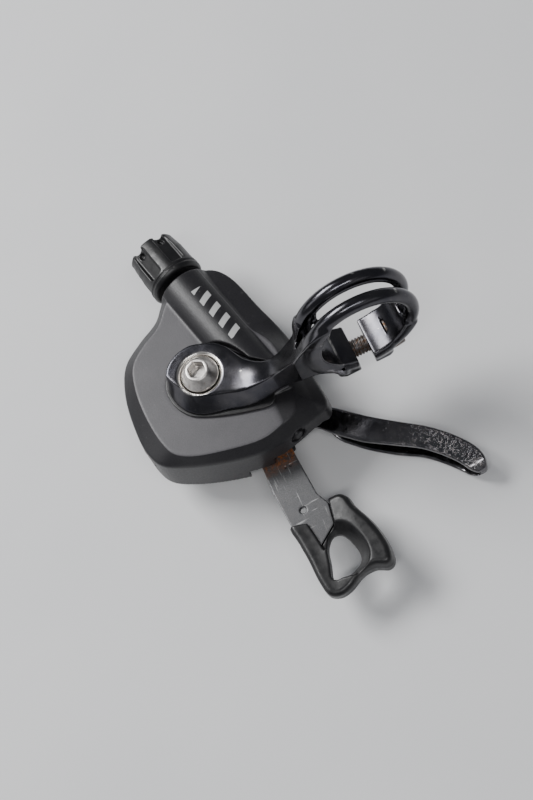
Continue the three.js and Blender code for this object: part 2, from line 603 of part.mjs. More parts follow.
// A small wire spring pushes each pawl: a coil round the pin with one short leg.
function torsionSpring(centre, radius, wire, turns, zLow, height, legLength, legDeg) {
  const leg = THREE.MathUtils.degToRad(legDeg);
  const curve = new FormulaCurve((t) => {
    const coil = Math.min(t / 0.85, 1);
    const angle = leg - 2 * Math.PI * turns * (1 - coil);
    const out = t > 0.85 ? (legLength * (t - 0.85)) / 0.15 : 0;
    return new THREE.Vector3(
      centre.x + radius * Math.cos(angle) - out * Math.sin(leg),
      centre.y + radius * Math.sin(angle) + out * Math.cos(leg),
      zLow + height * coil,
    );
  });
  return bar(curve, wire, Math.round(turns * 14) + 6, 6);
}
addPart('hold_pawl_spring', torsionSpring(holdPivot, 2, 0.25, 2.5, -27.9, 1.1, 3, -110),
  materials.springSteel);
addPart('drive_pawl_spring', torsionSpring(drivePivot, 2, 0.25, 2.5, -26.4, 1.3, 3, 100),
  materials.springSteel);

// ---------------------------------------------------------------- release lever

const releaseOutline = points2([
  [-37, -12.5], [-37.2, -20], [-36.5, -30.2], [-35.6, -38], [-33, -38.6], [-26.6, -34], [-25.7, -28.6],
  [-27.3, -25], [-28, -14], [-28.4, -3.6], [-29, 1.8], [-33, 2.2], [-39.4, -1.2], [-40.2, -3.4],
  [-38.6, -4.8],
]);
const RELEASE_HOLE = new THREE.Vector2(-32.1, -27.4);

function releasePlate() {
  const blank = prism(releaseOutline, RELEASE_BOTTOM_Z, RELEASE_TOP_Z);
  return cut(blank, disc(RELEASE_PIVOT, 1.7, ...THROUGH, 24), disc(RELEASE_HOLE, 1, ...THROUGH, 16));
}
addPart('release_plate', releasePlate(), materials.plateAlloy);

function releasePin() {
  return turned(RELEASE_PIVOT, [
    [0, BASE_BOTTOM_Z + 0.2], [1.45, BASE_BOTTOM_Z + 0.2], [1.45, -25.9], [1.1, -25.9], [1.1, -25.3],
    [1.45, -25.3], [1.45, -24.8], [0, -24.8],
  ], 20);
}
addPart('release_pin', releasePin(), materials.steel);
addPart('release_circlip', ring(RELEASE_PIVOT, 2.9, 1.2, -25.85, -25.35, 20), materials.springSteel);
addPart('release_spring', torsionSpring(RELEASE_PIVOT, 3.6, 0.3, 1.4, -26.1, 0.3, 4, -60),
  materials.springSteel);

// The finger loop is moulded round the end of the plate.
const paddleOuter = smoothOutline([
  [-36.8, -29.8], [-36.5, -35], [-36.1, -40], [-35.9, -46], [-35, -50], [-32.6, -51.3], [-29.6, -50.9],
  [-25.6, -49], [-22.2, -48.9], [-19.3, -50.2], [-17.6, -49.6], [-16.6, -46.6], [-16.9, -42], [-18, -37.6],
  [-20, -32.6], [-20.6, -29.8], [-22, -28.2], [-24.8, -27.8], [-27.4, -28.6], [-31.5, -29.6],
], 60);
const paddleWindow = smoothOutline([
  [-30.4, -38.4], [-31.6, -42.6], [-32.6, -46.6], [-31.6, -47.6], [-28.6, -47.1], [-25, -45.6], [-24.2, -44],
  [-24.6, -40.4], [-26.2, -37], [-28.2, -36.4],
], 30);

function releasePaddle() {
  const levels = [[-30, -0.9], [-29, 0], [-25, 0], [-23.6, -1.2]];
  const blank = loft(levels.map(([z, offset]) => atLevel(offsetOutline(paddleOuter, offset), z)));
  const window = prism(paddleWindow, RELEASE_BOTTOM_Z - 10, RELEASE_TOP_Z + 10);
  const pocketOutline = [...releaseOutline.slice(0, 9), ...points2([[-28, -10], [-37, -10]])];
  const pocket = prism(offsetOutline(pocketOutline, 0.3), RELEASE_BOTTOM_Z - 0.3, RELEASE_TOP_Z + 6);
  return cut(blank, window, pocket);
}
addPart('release_paddle', releasePaddle(), materials.blackPlastic);

// ---------------------------------------------------------------- main lever

// Stations along the blade: x and y of its back seen from above, its height and its depth.
const bladeStations = [
  [-20.5, 0.4, 1.6, 5.2], [-17.4, -1.6, 2.6, 6.8], [-13, -5.4, 7.4, 7.4], [-7, -10.9, 8, 7],
  [-1, -15.7, 8, 6.4], [5, -20.4, 7.8, 6], [10.2, -26, 7.6, 5.8], [13.2, -31.3, 7, 5.4],
  [14.2, -36.8, 4.8, 3.4],
];
const BLADE_WALL = 1.5;

function leverBlade() {
  const spine = new THREE.CatmullRomCurve3(bladeStations.map(([x, y]) => new THREE.Vector3(x, y, 0)));
  const rings = [];
  const steps = 18;
  for (let i = 0; i <= steps; i += 1) {
    const t = i / steps;
    const place = (bladeStations.length - 1) * t;
    const low = Math.min(Math.floor(place), bladeStations.length - 2);
    const mix = (k) => THREE.MathUtils.lerp(bladeStations[low][k], bladeStations[low + 1][k], place - low);
    const centre = spine.getPoint(t);
    const ahead = spine.getTangent(t);
    const inward = new THREE.Vector3(ahead.y, -ahead.x, 0);
    const height = mix(2);
    const depth = mix(3);
    const corner = (back, down) => new THREE.Vector3(centre.x, centre.y, LEVER_TOP_Z - down)
      .addScaledVector(inward, back);
    const lip = Math.min(depth * 1.3, height * 0.85);
    const thick = Math.min(BLADE_WALL, height * 0.4);
    rings.push([
      corner(0.2, 0), corner(depth, 0.3), corner(depth, 0.3 + thick), corner(thick + 0.6, 0.2 + thick),
      corner(thick, height / 2), corner(thick + 0.4, height - thick * 0.8), corner(lip, height - thick * 0.6),
      corner(lip, height), corner(0.7, height), corner(-0.2, height / 2),
    ]);
  }
  return loft(rings);
}

function mainLeverArm() {
  const outline = points2([
    [-33.6, 13.4], [-36.5, 17], [-41, 18.3], [-50, 18.4], [-53.8, 17.6], [-55.4, 15.4], [-54.2, 12.8],
    [-48.2, 9], [-46, 4], [-40, 1], [-32, -2.4], [-26, -5.4], [-19.6, -6], [-17.6, -1.8], [-22, 1.6],
    [-30, 5],
  ]);
  return cut(prism(outline, LEVER_PLATE_BOTTOM_Z, LEVER_TOP_Z), disc(AXLE, AXLE_RADIUS + 0.1, ...THROUGH));
}

addPart('main_lever', join(mainLeverArm(), leverBlade()), materials.leverChrome);

// ---------------------------------------------------------------- barrel adjuster

const BARREL_START = BOSS_END + 1.7; // leaves room to screw the barrel in by one turn
const BARREL_LENGTH = 13.3;
const BARREL_SLOTS = 6; // a rib between two of them faces up

function barrelAdjuster() {
  const body = new THREE.LatheGeometry(points2([
    [2.2, -14], [3.3, -14], [3.3, BARREL_START], [6.9, BARREL_START], [7.5, BARREL_START + 1],
    [7.4, 8.5], [6.8, BARREL_LENGTH], [2.8, BARREL_LENGTH], [2.8, 6.2], [1.2, 6.2], [1.2, -10], [2.2, -10],
    [2.2, -14],
  ]), 48).rotateX(Math.PI / 2);
  const tools = [];
  for (let i = 0; i < BARREL_SLOTS; i += 1) {
    const turn = (2 * Math.PI * (i + 0.5)) / BARREL_SLOTS;
    const slot = new THREE.BoxGeometry(2.6, 3.4, 9.4).translate(7.5, 0, 7.8).rotateZ(turn);
    const notch = new THREE.CylinderGeometry(1.9, 1.9, 8, 12).rotateZ(Math.PI / 2)
      .translate(7, 0, BARREL_LENGTH + 0.9).rotateZ(turn);
    tools.push(slot, notch);
  }
  return along(cut(body, ...tools), cableFrame);
}
addPart('barrel_adjuster', barrelAdjuster(), materials.blackPlastic);

// The seat that the cable's outer casing bears on: it slides with the barrel but doesn't turn.
const ferrule = new THREE.LatheGeometry(points2([
  [0.9, 6.4], [2.6, 6.4], [2.6, 7.6], [0.9, 7.6], [0.9, 6.4],
]), 24).rotateX(Math.PI / 2);
addPart('ferrule_seat', along(ferrule, cableFrame), materials.steel);

const clickCurve = new FormulaCurve((t) => new THREE.Vector3(
  5 * Math.cos(2 * Math.PI * 0.92 * t), 5 * Math.sin(2 * Math.PI * 0.92 * t), BOSS_END + 0.35));
addPart('barrel_click_spring', along(bar(clickCurve, 0.22, 24, 6), cableFrame), materials.springSteel);

export default group;
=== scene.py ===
import json
import math

import bpy
import numpy as np
from mathutils import Matrix, Vector


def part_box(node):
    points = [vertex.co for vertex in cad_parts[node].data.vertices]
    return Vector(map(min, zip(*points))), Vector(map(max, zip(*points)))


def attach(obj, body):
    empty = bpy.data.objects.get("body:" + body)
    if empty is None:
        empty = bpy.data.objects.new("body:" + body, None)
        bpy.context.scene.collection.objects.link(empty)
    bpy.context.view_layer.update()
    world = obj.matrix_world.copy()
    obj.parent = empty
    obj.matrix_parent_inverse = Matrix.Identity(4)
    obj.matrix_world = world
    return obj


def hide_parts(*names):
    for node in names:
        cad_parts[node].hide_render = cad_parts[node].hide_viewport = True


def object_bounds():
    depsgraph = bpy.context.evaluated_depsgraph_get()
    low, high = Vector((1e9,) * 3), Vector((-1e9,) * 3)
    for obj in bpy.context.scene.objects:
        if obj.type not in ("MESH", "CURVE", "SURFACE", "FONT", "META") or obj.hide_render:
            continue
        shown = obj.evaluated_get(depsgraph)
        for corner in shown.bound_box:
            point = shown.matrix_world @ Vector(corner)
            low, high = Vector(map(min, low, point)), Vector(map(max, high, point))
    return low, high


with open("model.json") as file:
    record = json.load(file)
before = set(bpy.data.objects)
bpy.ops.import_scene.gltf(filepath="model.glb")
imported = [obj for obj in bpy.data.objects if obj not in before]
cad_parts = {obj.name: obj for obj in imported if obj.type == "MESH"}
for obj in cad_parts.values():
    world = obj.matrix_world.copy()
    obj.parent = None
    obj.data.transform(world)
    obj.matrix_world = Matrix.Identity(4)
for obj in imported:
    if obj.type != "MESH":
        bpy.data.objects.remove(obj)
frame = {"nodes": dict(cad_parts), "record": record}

# Trigger shifter, left hand. Shapes are given in millimetres in the record's frame: origin in
# the handlebar bore, +Y along the bar, +Z out of the cover. Meshes are written in metres.
MM = 0.001
cad_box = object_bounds()


def axis_of(node):
    """Middle of a node's box in plan, in millimetres."""
    low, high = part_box(node)
    return (low.x + high.x) / 2 / MM, (low.y + high.y) / 2 / MM


AXLE = axis_of("main_axle")
COVER_FLAT, SHOULDER = -15.0, -17.9
COVER_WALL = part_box("top_cover")[0].z / MM
FOOT_TOP, FOOT_BOTTOM = -9.2, -14.2
BAR_RADIUS = 11.1
CABLE_Z = -19.5
CABLE_ANGLE = math.radians(104)
CABLE_END = (-36.1, 41.5)
CABLE_DIR = (math.cos(CABLE_ANGLE), math.sin(CABLE_ANGLE))
BOSS_MARK = (32.3, -22.8)  # middle of the stripes, along the cable and across it, from the origin
STRIPE_PITCH = 4.2
BOSS_RADIUS = 7.3
BOSS_END = -1.5
LEVER_TOP = -30.5


# ------------------------------------------------------------------ distance fields

def both(a, b, radius=0.25):
    """What two fields share, with its outer edge rounded."""
    rounded = np.hypot(np.maximum(radius + a, 0), np.maximum(radius + b, 0))
    return np.minimum(-radius, np.maximum(a, b)) + rounded


def either(a, b, radius=0.25):
    """Two fields joined, with a fillet in the corner between them."""
    return -both(-a, -b, radius)


def cut(a, b, radius=0.25):
    return both(a, -b, radius)


def slab(value, low, high):
    return np.maximum(low - value, value - high)


def polygon(x, y, points):
    """Signed distance to a polygon, whose corners may themselves vary over the grid."""
    nearest, inside = None, None
    for (ax, ay), (bx, by) in zip(points, list(points[1:]) + [points[0]]):
        ex, ey = bx - ax, by - ay
        wx, wy = x - ax, y - ay
        along = np.clip((wx * ex + wy * ey) / (ex * ex + ey * ey + 1e-12), 0, 1)
        squared = (wx - ex * along) ** 2 + (wy - ey * along) ** 2
        steep = np.where(np.abs(ey) < 1e-9, 1e-9, ey)
        crossing = ((ay <= y) != (by <= y)) & (x < ax + (y - ay) * ex / steep)
        nearest = squared if nearest is None else np.minimum(nearest, squared)
        inside = crossing if inside is None else inside ^ crossing
    return np.where(inside, -1.0, 1.0) * np.sqrt(nearest)


def shrunk(points, amount):
    """The polygon with every side moved inwards; the points run counter-clockwise."""
    moved = []
    count = len(points)
    for i in range(count):
        (ax, ay), (bx, by), (cx, cy) = points[i - 1], points[i], points[(i + 1) % count]
        first = np.hypot(bx - ax, by - ay) + 1e-9
        second = np.hypot(cx - bx, cy - by) + 1e-9
        n1 = (-(by - ay) / first, (bx - ax) / first)
        n2 = (-(cy - by) / second, (cx - bx) / second)
        share = np.maximum(1 + n1[0] * n2[0] + n1[1] * n2[1], 0.35)
        moved.append((bx + (n1[0] + n2[0]) / share * amount,
                      by + (n1[1] + n2[1]) / share * amount))
    return moved


def rounded(x, y, points, radius):
    """A polygon with its outer corners rounded."""
    return polygon(x, y, shrunk(points, radius)) - radius


def smooth(points, per_side=6):
    """A closed centripetal Catmull-Rom curve through the points."""
    pts = [np.array(p, float) for p in points]
    count = len(pts)
    line = []
    for i in range(count):
        p = [pts[(i + k - 1) % count] for k in range(4)]
        t = [0.0]
        for k in range(3):
            t.append(t[-1] + max(np.linalg.norm(p[k + 1] - p[k]), 1e-6) ** 0.5)
        for step in range(per_side):
            u = t[1] + (t[2] - t[1]) * step / per_side
            a = [p[k] + (p[k + 1] - p[k]) * (u - t[k]) / (t[k + 1] - t[k]) for k in range(3)]
            b = [a[k] + (a[k + 1] - a[k]) * (u - t[k]) / (t[k + 2] - t[k]) for k in range(2)]
            value = b[0] + (b[1] - b[0]) * (u - t[1]) / (t[2] - t[1])
            line.append((float(value[0]), float(value[1])))
    return line


def eased(x, xs, ys, reach=1.2):
    """Linear interpolation with its corners eased over a short reach."""
    shifts = np.linspace(-reach, reach, 7)
    return sum(np.interp(x + s, xs, ys) for s in shifts) / len(shifts)


def from_axle(x, y):
    return np.hypot(x - AXLE[0], y - AXLE[1])


def hexagon(x, y, across):
    return np.maximum(np.abs(x), np.abs(x) * 0.5 + np.abs(y) * 0.8660254) - across / 2


# ------------------------------------------------------------------ field to mesh

def add_object(name, data):
    piece = bpy.data.objects.new(name, data)
    bpy.context.scene.collection.objects.link(piece)
    return piece


def surface(name, field, low, high, step, matrix=None):
    """A closed mesh along the zero level of a field, one vertex per mixed cell."""
    axes = [np.arange(low[k] - 2 * step, high[k] + 2.5 * step, step) for k in range(3)]
    x, y, z = axes[0][:, None, None], axes[1][None, :, None], axes[2][None, None, :]
    shape = tuple(len(a) for a in axes)
    value = np.ascontiguousarray(np.broadcast_to(field(x, y, z), shape), dtype=np.float32)
    inside = value < 0
    cells = tuple(n - 1 for n in shape)
    total = np.zeros(cells + (3,), np.float32)
    count = np.zeros(cells, np.float32)
    crossings = []
    for axis in range(3):
        lower = [slice(None)] * 3
        upper = [slice(None)] * 3
        lower[axis], upper[axis] = slice(0, -1), slice(1, None)
        v0, v1 = value[tuple(lower)], value[tuple(upper)]
        mixed = inside[tuple(lower)] != inside[tuple(upper)]
        crossings.append((mixed, inside[tuple(lower)]))
        part = np.where(mixed, v0 / np.where(mixed, v0 - v1, 1), 0).astype(np.float32)
        others = [k for k in range(3) if k != axis]
        for i in (0, 1):
            for j in (0, 1):
                window = [slice(None)] * 3
                window[others[0]] = slice(i, i + cells[others[0]])
                window[others[1]] = slice(j, j + cells[others[1]])
                hit = mixed[tuple(window)]
                total[..., axis] += np.where(hit, part[tuple(window)], 0)
                total[..., others[0]] += hit * i
                total[..., others[1]] += hit * j
                count += hit
    active = count > 0
    number = np.full(cells, -1, np.int64)
    number[active] = np.arange(int(active.sum()))
    corner = np.argwhere(active).astype(np.float32)
    place = (corner + total[active] / count[active][:, None]) * step
    place += np.array([a[0] for a in axes], np.float32)
    faces = []
    for axis in range(3):
        mixed, start_inside = crossings[axis]
        at = np.argwhere(mixed)
        others = [k for k in range(3) if k != axis]
        at = at[(at[:, others[0]] > 0) & (at[:, others[1]] > 0)
                & (at[:, others[0]] < cells[others[0]]) & (at[:, others[1]] < cells[others[1]])]
        quad = []
        for i, j in ((0, 0), (1, 0), (1, 1), (0, 1)):
            cell = at.copy()
            cell[:, others[0]] -= i
            cell[:, others[1]] -= j
            quad.append(number[cell[:, 0], cell[:, 1], cell[:, 2]])
        quad = np.stack(quad, 1)
        outward = start_inside[at[:, 0], at[:, 1], at[:, 2]]
        if axis == 1:
            outward = ~outward
        quad[~outward] = quad[~outward][:, ::-1]
        faces.append(quad)
    mesh = bpy.data.meshes.new(name)
    place = place.astype(float) * MM
    if matrix is not None:
        m = np.array(matrix)
        place = place @ m[:3, :3].T + m[:3, 3]
    faces = np.concatenate(faces)
    mesh.vertices.add(len(place))
    mesh.vertices.foreach_set("co", place.ravel())
    mesh.loops.add(faces.size)
    mesh.loops.foreach_set("vertex_index", faces.ravel())
    mesh.polygons.add(len(faces))
    mesh.polygons.foreach_set("loop_start", np.arange(0, faces.size, 4))
    mesh.update(calc_edges=True)
    mesh.polygons.foreach_set("use_smooth", np.ones(len(faces), bool))
    mesh.validate()
    return add_object(name, mesh)


# ------------------------------------------------------------------ materials

class Look:
    """A Principled material with a few procedural nodes.

    The values given at the start stand until a node is linked over them. Sizes of patterns and
    depths of relief are in millimetres; a distance that a node puts out is in metres.
    """

    def __init__(self, name, color, metallic=0.0, roughness=0.4, **sockets):
        self.material = bpy.data.materials.new(name)
        self.material.use_nodes = True
        self.tree = self.material.node_tree
        self.shader = self.tree.nodes["Principled BSDF"]
        self.shader.inputs["Base Color"].default_value = (*color, 1)
        self.shader.inputs["Metallic"].default_value = metallic
        self.shader.inputs["Roughness"].default_value = roughness
        for socket, value in sockets.items():
            self.shader.inputs[socket.replace("_", " ")].default_value = value
        self.place = self.tree.nodes.new("ShaderNodeTexCoord").outputs["Object"]
        self.height = None

    def link(self, source, target):
        self.tree.links.new(source, target)

    def node(self, kind, **settings):
        node = self.tree.nodes.new("ShaderNode" + kind)
        for key, value in settings.items():
            setattr(node, key, value)
        return node

    def stretched(self, x, y, z, angle=0.0):
        node = self.node("Mapping")
        node.inputs["Scale"].default_value = (x, y, z)
        node.inputs["Rotation"].default_value = (0, 0, angle)
        self.link(self.place, node.inputs["Vector"])
        return node.outputs["Vector"]

    def noise(self, size, detail=3.0, rough=0.55, place=None):
        node = self.node("TexNoise")
        node.inputs["Scale"].default_value = 1 / (size * MM)
        node.inputs["Detail"].default_value = detail
        node.inputs["Roughness"].default_value = rough
        self.link(place or self.place, node.inputs["Vector"])
        return node.outputs["Fac"]

    def cells(self, size, place=None, feature="F1"):
        node = self.node("TexVoronoi", feature=feature)
        node.inputs["Scale"].default_value = 1 / (size * MM)
        self.link(place or self.place, node.inputs["Vector"])
        return node.outputs["Distance"]

    def between(self, value, low, high, to_low=0.0, to_high=1.0):
        node = self.node("MapRange")
        limits = {"From Min": low, "From Max": high, "To Min": to_low, "To Max": to_high}
        for socket, number in limits.items():
            node.inputs[socket].default_value = number
        self.link(value, node.inputs["Value"])
        return node.outputs["Result"]

    def math(self, operation, a, b=0):
        node = self.node("Math", operation=operation)
        for socket, value in zip(node.inputs, (a, b)):
            if isinstance(value, (int, float)):
                socket.default_value = value
            else:
                self.link(value, socket)
        return node.outputs["Value"]

    def times(self, a, b):
        return self.math("MULTIPLY", a, b)

    def edges(self, low=0.52, high=0.6):
        return self.between(self.node("NewGeometry").outputs["Pointiness"], low, high)

    def mix(self, share, a, b):
        node = self.node("Mix", data_type="RGBA")
        self.link(share, node.inputs["Factor"])
        for socket, value in ((node.inputs["A"], a), (node.inputs["B"], b)):
            if isinstance(value, tuple):
                socket.default_value = (*value, 1)
            else:
                self.link(value, socket)
        return node.outputs["Result"]

    def color(self, source):
        self.link(source, self.shader.inputs["Base Color"])

    def rough(self, source):
        self.link(source, self.shader.inputs["Roughness"])

    def metal(self, source):
        self.link(source, self.shader.inputs["Metallic"])

    def relief(self, height, depth, previous=None):
        node = self.node("Bump")
        node.inputs["Distance"].default_value = depth * MM
        node.inputs["Strength"].default_value = 1.0
        self.link(height, node.inputs["Height"])
        if previous is not None:
            self.link(previous, node.inputs["Normal"])
        self.link(node.outputs["Normal"], self.shader.inputs["Normal"])
        return node.outputs["Normal"]

    def reach(self, x, y, z):
        """The distance along a direction from the origin, in metres."""
        node = self.node("VectorMath", operation="DOT_PRODUCT")
        self.link(self.place, node.inputs[0])
        node.inputs[1].default_value = (x, y, z)
        return node.outputs["Value"]


def speckled_alloy():
    """Forged aluminium, polished and smoke-grey anodised, lighter along its edges."""
    look = Look("clamp_alloy", (0.09, 0.09, 0.1), 1.0, 0.2)
    cloud = look.noise(6, 4)
    base = look.mix(look.between(cloud, 0.35, 0.7), (0.06, 0.06, 0.07), (0.1, 0.097, 0.102))
    worn = look.times(look.edges(0.53, 0.64), look.between(look.noise(1.2), 0.3, 0.6))
    spots = look.between(look.cells(0.9), 0.06, 0.1, 1, 0)
    spots = look.times(spots, look.between(look.noise(2.5), 0.5, 0.6))
    base = look.mix(worn, base, (0.5, 0.49, 0.47))
    # the bare metal of the seat round the bracket bolt
    along = look.math("SUBTRACT", look.reach(1, 0, 0), AXLE[0] * MM)
    across = look.math("SUBTRACT", look.reach(0, 1, 0), AXLE[1] * MM)
    squares = look.math("ADD", look.times(along, along), look.times(across, across))
    near_bolt = look.between(look.math("SQRT", squares), 6.0 * MM, 5.8 * MM)
    above_seat = look.between(look.reach(0, 0, 1), -10.3 * MM, -10.1 * MM)
    base = look.mix(look.times(near_bolt, above_seat), base, (0.62, 0.6, 0.57))
    look.color(look.mix(spots, base, (0.4, 0.37, 0.33)))
    look.rough(look.between(look.noise(2.2, 5), 0.3, 0.75, 0.17, 0.27))
    bump = look.relief(look.noise(0.4, 3), 0.0015)
    scratches = look.between(look.noise(0.5, 2, place=look.stretched(1, 0.05, 0.6, 0.5)), 0.66, 0.72)
    look.relief(scratches, 0.0015, bump)
    return look.material


def cover_plastic():
    """Satin dark grey moulding with a fine grain, a little dust, plain stripes on the boss and a painted
    sheen on the flat top.
    """
    look = Look("cover_plastic", (0.05, 0.05, 0.055), 0.0, 0.42)
    grain = look.noise(0.35, 6, 0.65)
    base = look.mix(look.between(look.noise(0.22, 2), 0.35, 0.65),
                    (0.01, 0.0095, 0.011), (0.02, 0.019, 0.022))
    # painted sheen: the flat top is painted lighter than the walls, the bevel and the boss, where the
    # overhead light would shine on it
    level = look.reach(0, 0, 1)
    flat = look.times(look.between(level, (COVER_FLAT - 0.16) * MM, (COVER_FLAT - 0.06) * MM),
                      look.between(level, (COVER_FLAT + 0.04) * MM, (COVER_FLAT + 0.1) * MM, 1, 0))
    # the lighter colours laid on the flat here are painted sheen, not the moulding's own colour
    base = look.mix(look.times(flat, look.between(look.noise(9), 0.3, 0.7, 0.75, 1.0)), base,
                    look.mix(look.noise(0.22, 2), (0.05, 0.048, 0.053), (0.12, 0.116, 0.125)))
    worn = look.times(look.edges(0.52, 0.6), look.between(look.noise(2), 0.4, 0.65))
    base = look.mix(look.times(worn, 0.6), base, (0.055, 0.053, 0.057))
    dust = look.times(look.between(look.cells(1.3), 0.03, 0.07, 1, 0),
                      look.between(look.noise(7), 0.5, 0.62))
    base = look.mix(dust, base, (0.3, 0.29, 0.27))
    along = look.math("SUBTRACT", look.reach(*CABLE_DIR, 0), BOSS_MARK[0] * MM)
    across = look.math("SUBTRACT", look.reach(CABLE_DIR[1], -CABLE_DIR[0], 0), BOSS_MARK[1] * MM)
    slanted = look.math("SUBTRACT", along, look.times(across, 0.5))
    bars = look.math("FRACT", look.times(slanted, 1 / (STRIPE_PITCH * MM)))
    bars = look.between(bars, 0.42, 0.46, 1, 0)
    within = look.between(look.math("ABSOLUTE", along), 8.9 * MM, 9.0 * MM, 1, 0)
    within = look.times(within, look.between(look.math("ABSOLUTE", across), 1.7 * MM, 1.8 * MM, 1, 0))
    within = look.times(within, look.between(level, -14.6 * MM, -14.5 * MM))
    look.color(look.mix(look.times(bars, within), base, (0.5, 0.5, 0.5)))
    look.rough(look.between(look.noise(0.5, 4), 0.3, 0.7, 0.36, 0.46))
    bump = look.relief(grain, 0.02)
    look.relief(look.cells(0.28), 0.012, bump)
    return look.material


def black_plastic():
    """Black moulding, satin, paler where its edges are worn."""
    look = Look("black_plastic", (0.016, 0.016, 0.018), 0.0, 0.36)
    worn = look.times(look.edges(0.52, 0.61), look.between(look.noise(1.5, 4), 0.42, 0.62))
    base = look.mix(look.between(look.noise(4, 5), 0.35, 0.7),
                    (0.007, 0.007, 0.008), (0.016, 0.0155, 0.016))
    base = look.mix(look.times(worn, 0.7), base, (0.085, 0.082, 0.08))
    dust = look.times(look.between(look.cells(0.9), 0.04, 0.09, 1, 0),
                      look.between(look.noise(5), 0.52, 0.62))
    look.color(look.mix(look.times(dust, 0.7), base, (0.2, 0.19, 0.17)))
    look.rough(look.between(look.noise(1.6, 5), 0.3, 0.75, 0.28, 0.48))
    bump = look.relief(look.noise(0.25, 4), 0.012)
    look.relief(look.noise(2.4, 2), 0.05, bump)
    return look.material


def bright_steel(name="bright_steel", color=(0.68, 0.65, 0.62), dull=0.1):
    """Plated steel, stained in places, with rust in its corners."""
    look = Look(name, color, 1.0, 0.25)
    stain = look.between(look.noise(1.6, 5), 0.48, 0.72)
    base = look.mix(stain, color, tuple(c * 0.55 for c in color))
    rust = look.times(look.between(look.noise(0.9, 5), 0.6, 0.7), look.edges(0.44, 0.5))
    look.color(look.mix(look.times(rust, 0.5), base, (0.25, 0.13, 0.06)))
    look.rough(look.between(look.noise(0.4, 4), 0.3, 0.75, 0.16 + dull, 0.36 + dull))
    turned = look.noise(0.15, 2, place=look.stretched(0.15, 0.15, 1))
    look.relief(turned, 0.004)
    return look.material


def dark_steel():
    """Blackened steel with brown stains."""
    look = Look("dark_steel", (0.2, 0.18, 0.17), 1.0, 0.38)
    stain = look.between(look.noise(0.7, 5), 0.42, 0.66)
    look.color(look.mix(stain, (0.2, 0.19, 0.19), (0.17, 0.095, 0.05)))
    look.rough(look.between(look.noise(0.5, 4), 0.3, 0.7, 0.3, 0.55))
    look.relief(look.noise(0.2, 4), 0.01)
    return look.material


def plate_alloy():
    """Bead-blasted plate, speckled and scratched, with rusty dirt where it enters the housing."""
    look = Look("plate_alloy", (0.5, 0.5, 0.51), 0.9, 0.4)
    fine = look.noise(0.18, 3, 0.7)
    base = look.mix(look.between(fine, 0.35, 0.68), (0.09, 0.09, 0.094), (0.17, 0.17, 0.172))
    scratches = look.between(look.noise(0.5, 2, place=look.stretched(1, 0.06, 1, 0.35)), 0.63, 0.7)
    more = look.between(look.noise(0.6, 2, place=look.stretched(0.07, 1, 1, -0.6)), 0.66, 0.72)
    marks = look.math("MAXIMUM", scratches, more)
    base = look.mix(look.times(marks, 0.6), base, (0.5, 0.5, 0.5))
    smear = look.between(look.noise(2.2, 4), 0.5, 0.72)
    base = look.mix(look.times(smear, 0.35), base, (0.15, 0.145, 0.145))
    root = look.between(look.reach(0, 1, 0), -16.4 * MM, -13.4 * MM)
    ragged = look.between(look.noise(0.9, 5), 0.32, 0.6)
    rust = look.times(root, ragged)
    tone = look.mix(look.between(look.noise(0.5, 3), 0.4, 0.6), (0.28, 0.09, 0.025), (0.1, 0.045, 0.02))
    look.color(look.mix(rust, base, tone))
    look.metal(look.between(rust, 0, 1, 0.9, 0.1))
    look.rough(look.between(look.noise(0.3, 4), 0.3, 0.7, 0.32, 0.52))
    bump = look.relief(fine, 0.014)
    look.relief(marks, 0.006, bump)
    return look.material


def lever_chrome():
    """Black chrome, worn along the upper edge of the outer half, with fine scuffs."""
    look = Look("lever_chrome", (0.03, 0.03, 0.034), 1.0, 0.16, Coat_Weight=0.35, Coat_Roughness=0.08)
    outer = look.between(look.reach(1, 0, 0), -9 * MM, 3 * MM)
    upper = look.between(look.reach(0, 0, 1), -33.2 * MM, -30.9 * MM)
    patch = look.between(look.noise(0.9, 6, 0.7), 0.5, 0.62)
    scuffed = look.times(look.times(outer, upper), patch)
    edge = look.times(look.edges(0.52, 0.6), look.between(look.noise(1.1, 4), 0.38, 0.6))
    worn = look.math("MAXIMUM", look.times(scuffed, 0.22), look.times(edge, 0.3))
    base = look.mix(look.between(look.noise(5, 4), 0.35, 0.7), (0.09, 0.09, 0.1), (0.19, 0.185, 0.19))
    look.color(look.mix(worn, base, (0.34, 0.27, 0.23)))
    smudge = look.between(look.noise(1.1, 6), 0.3, 0.75, 0.1, 0.3)
    look.rough(look.math("ADD", smudge, look.times(worn, 0.3)))
    bump = look.relief(look.noise(0.35, 5), 0.008)
    look.relief(look.times(scuffed, look.noise(0.3, 3)), 0.05, bump)
    return look.material


def pale_resin():
    """Pale grey moulding, a little dirty."""
    look = Look("pale_resin", (0.45, 0.45, 0.44), 0.0, 0.45)
    dirt = look.between(look.noise(0.8, 5), 0.35, 0.7)
    look.color(look.mix(dirt, (0.3, 0.29, 0.28), (0.2, 0.19, 0.18)))
    look.rough(look.between(look.noise(0.5, 4), 0.3, 0.7, 0.36, 0.55))
    look.relief(look.noise(0.3, 4), 0.01)
    return look.material


def floor_paper():
    """Plain pale paper."""
    look = Look("floor_paper", (0.78, 0.78, 0.78), 0.0, 0.7)
    look.color(look.mix(look.between(look.noise(60, 3), 0.3, 0.7), (0.76, 0.765, 0.775), (0.8, 0.8, 0.805)))
    look.relief(look.noise(1.2, 5), 0.02)
    return look.material


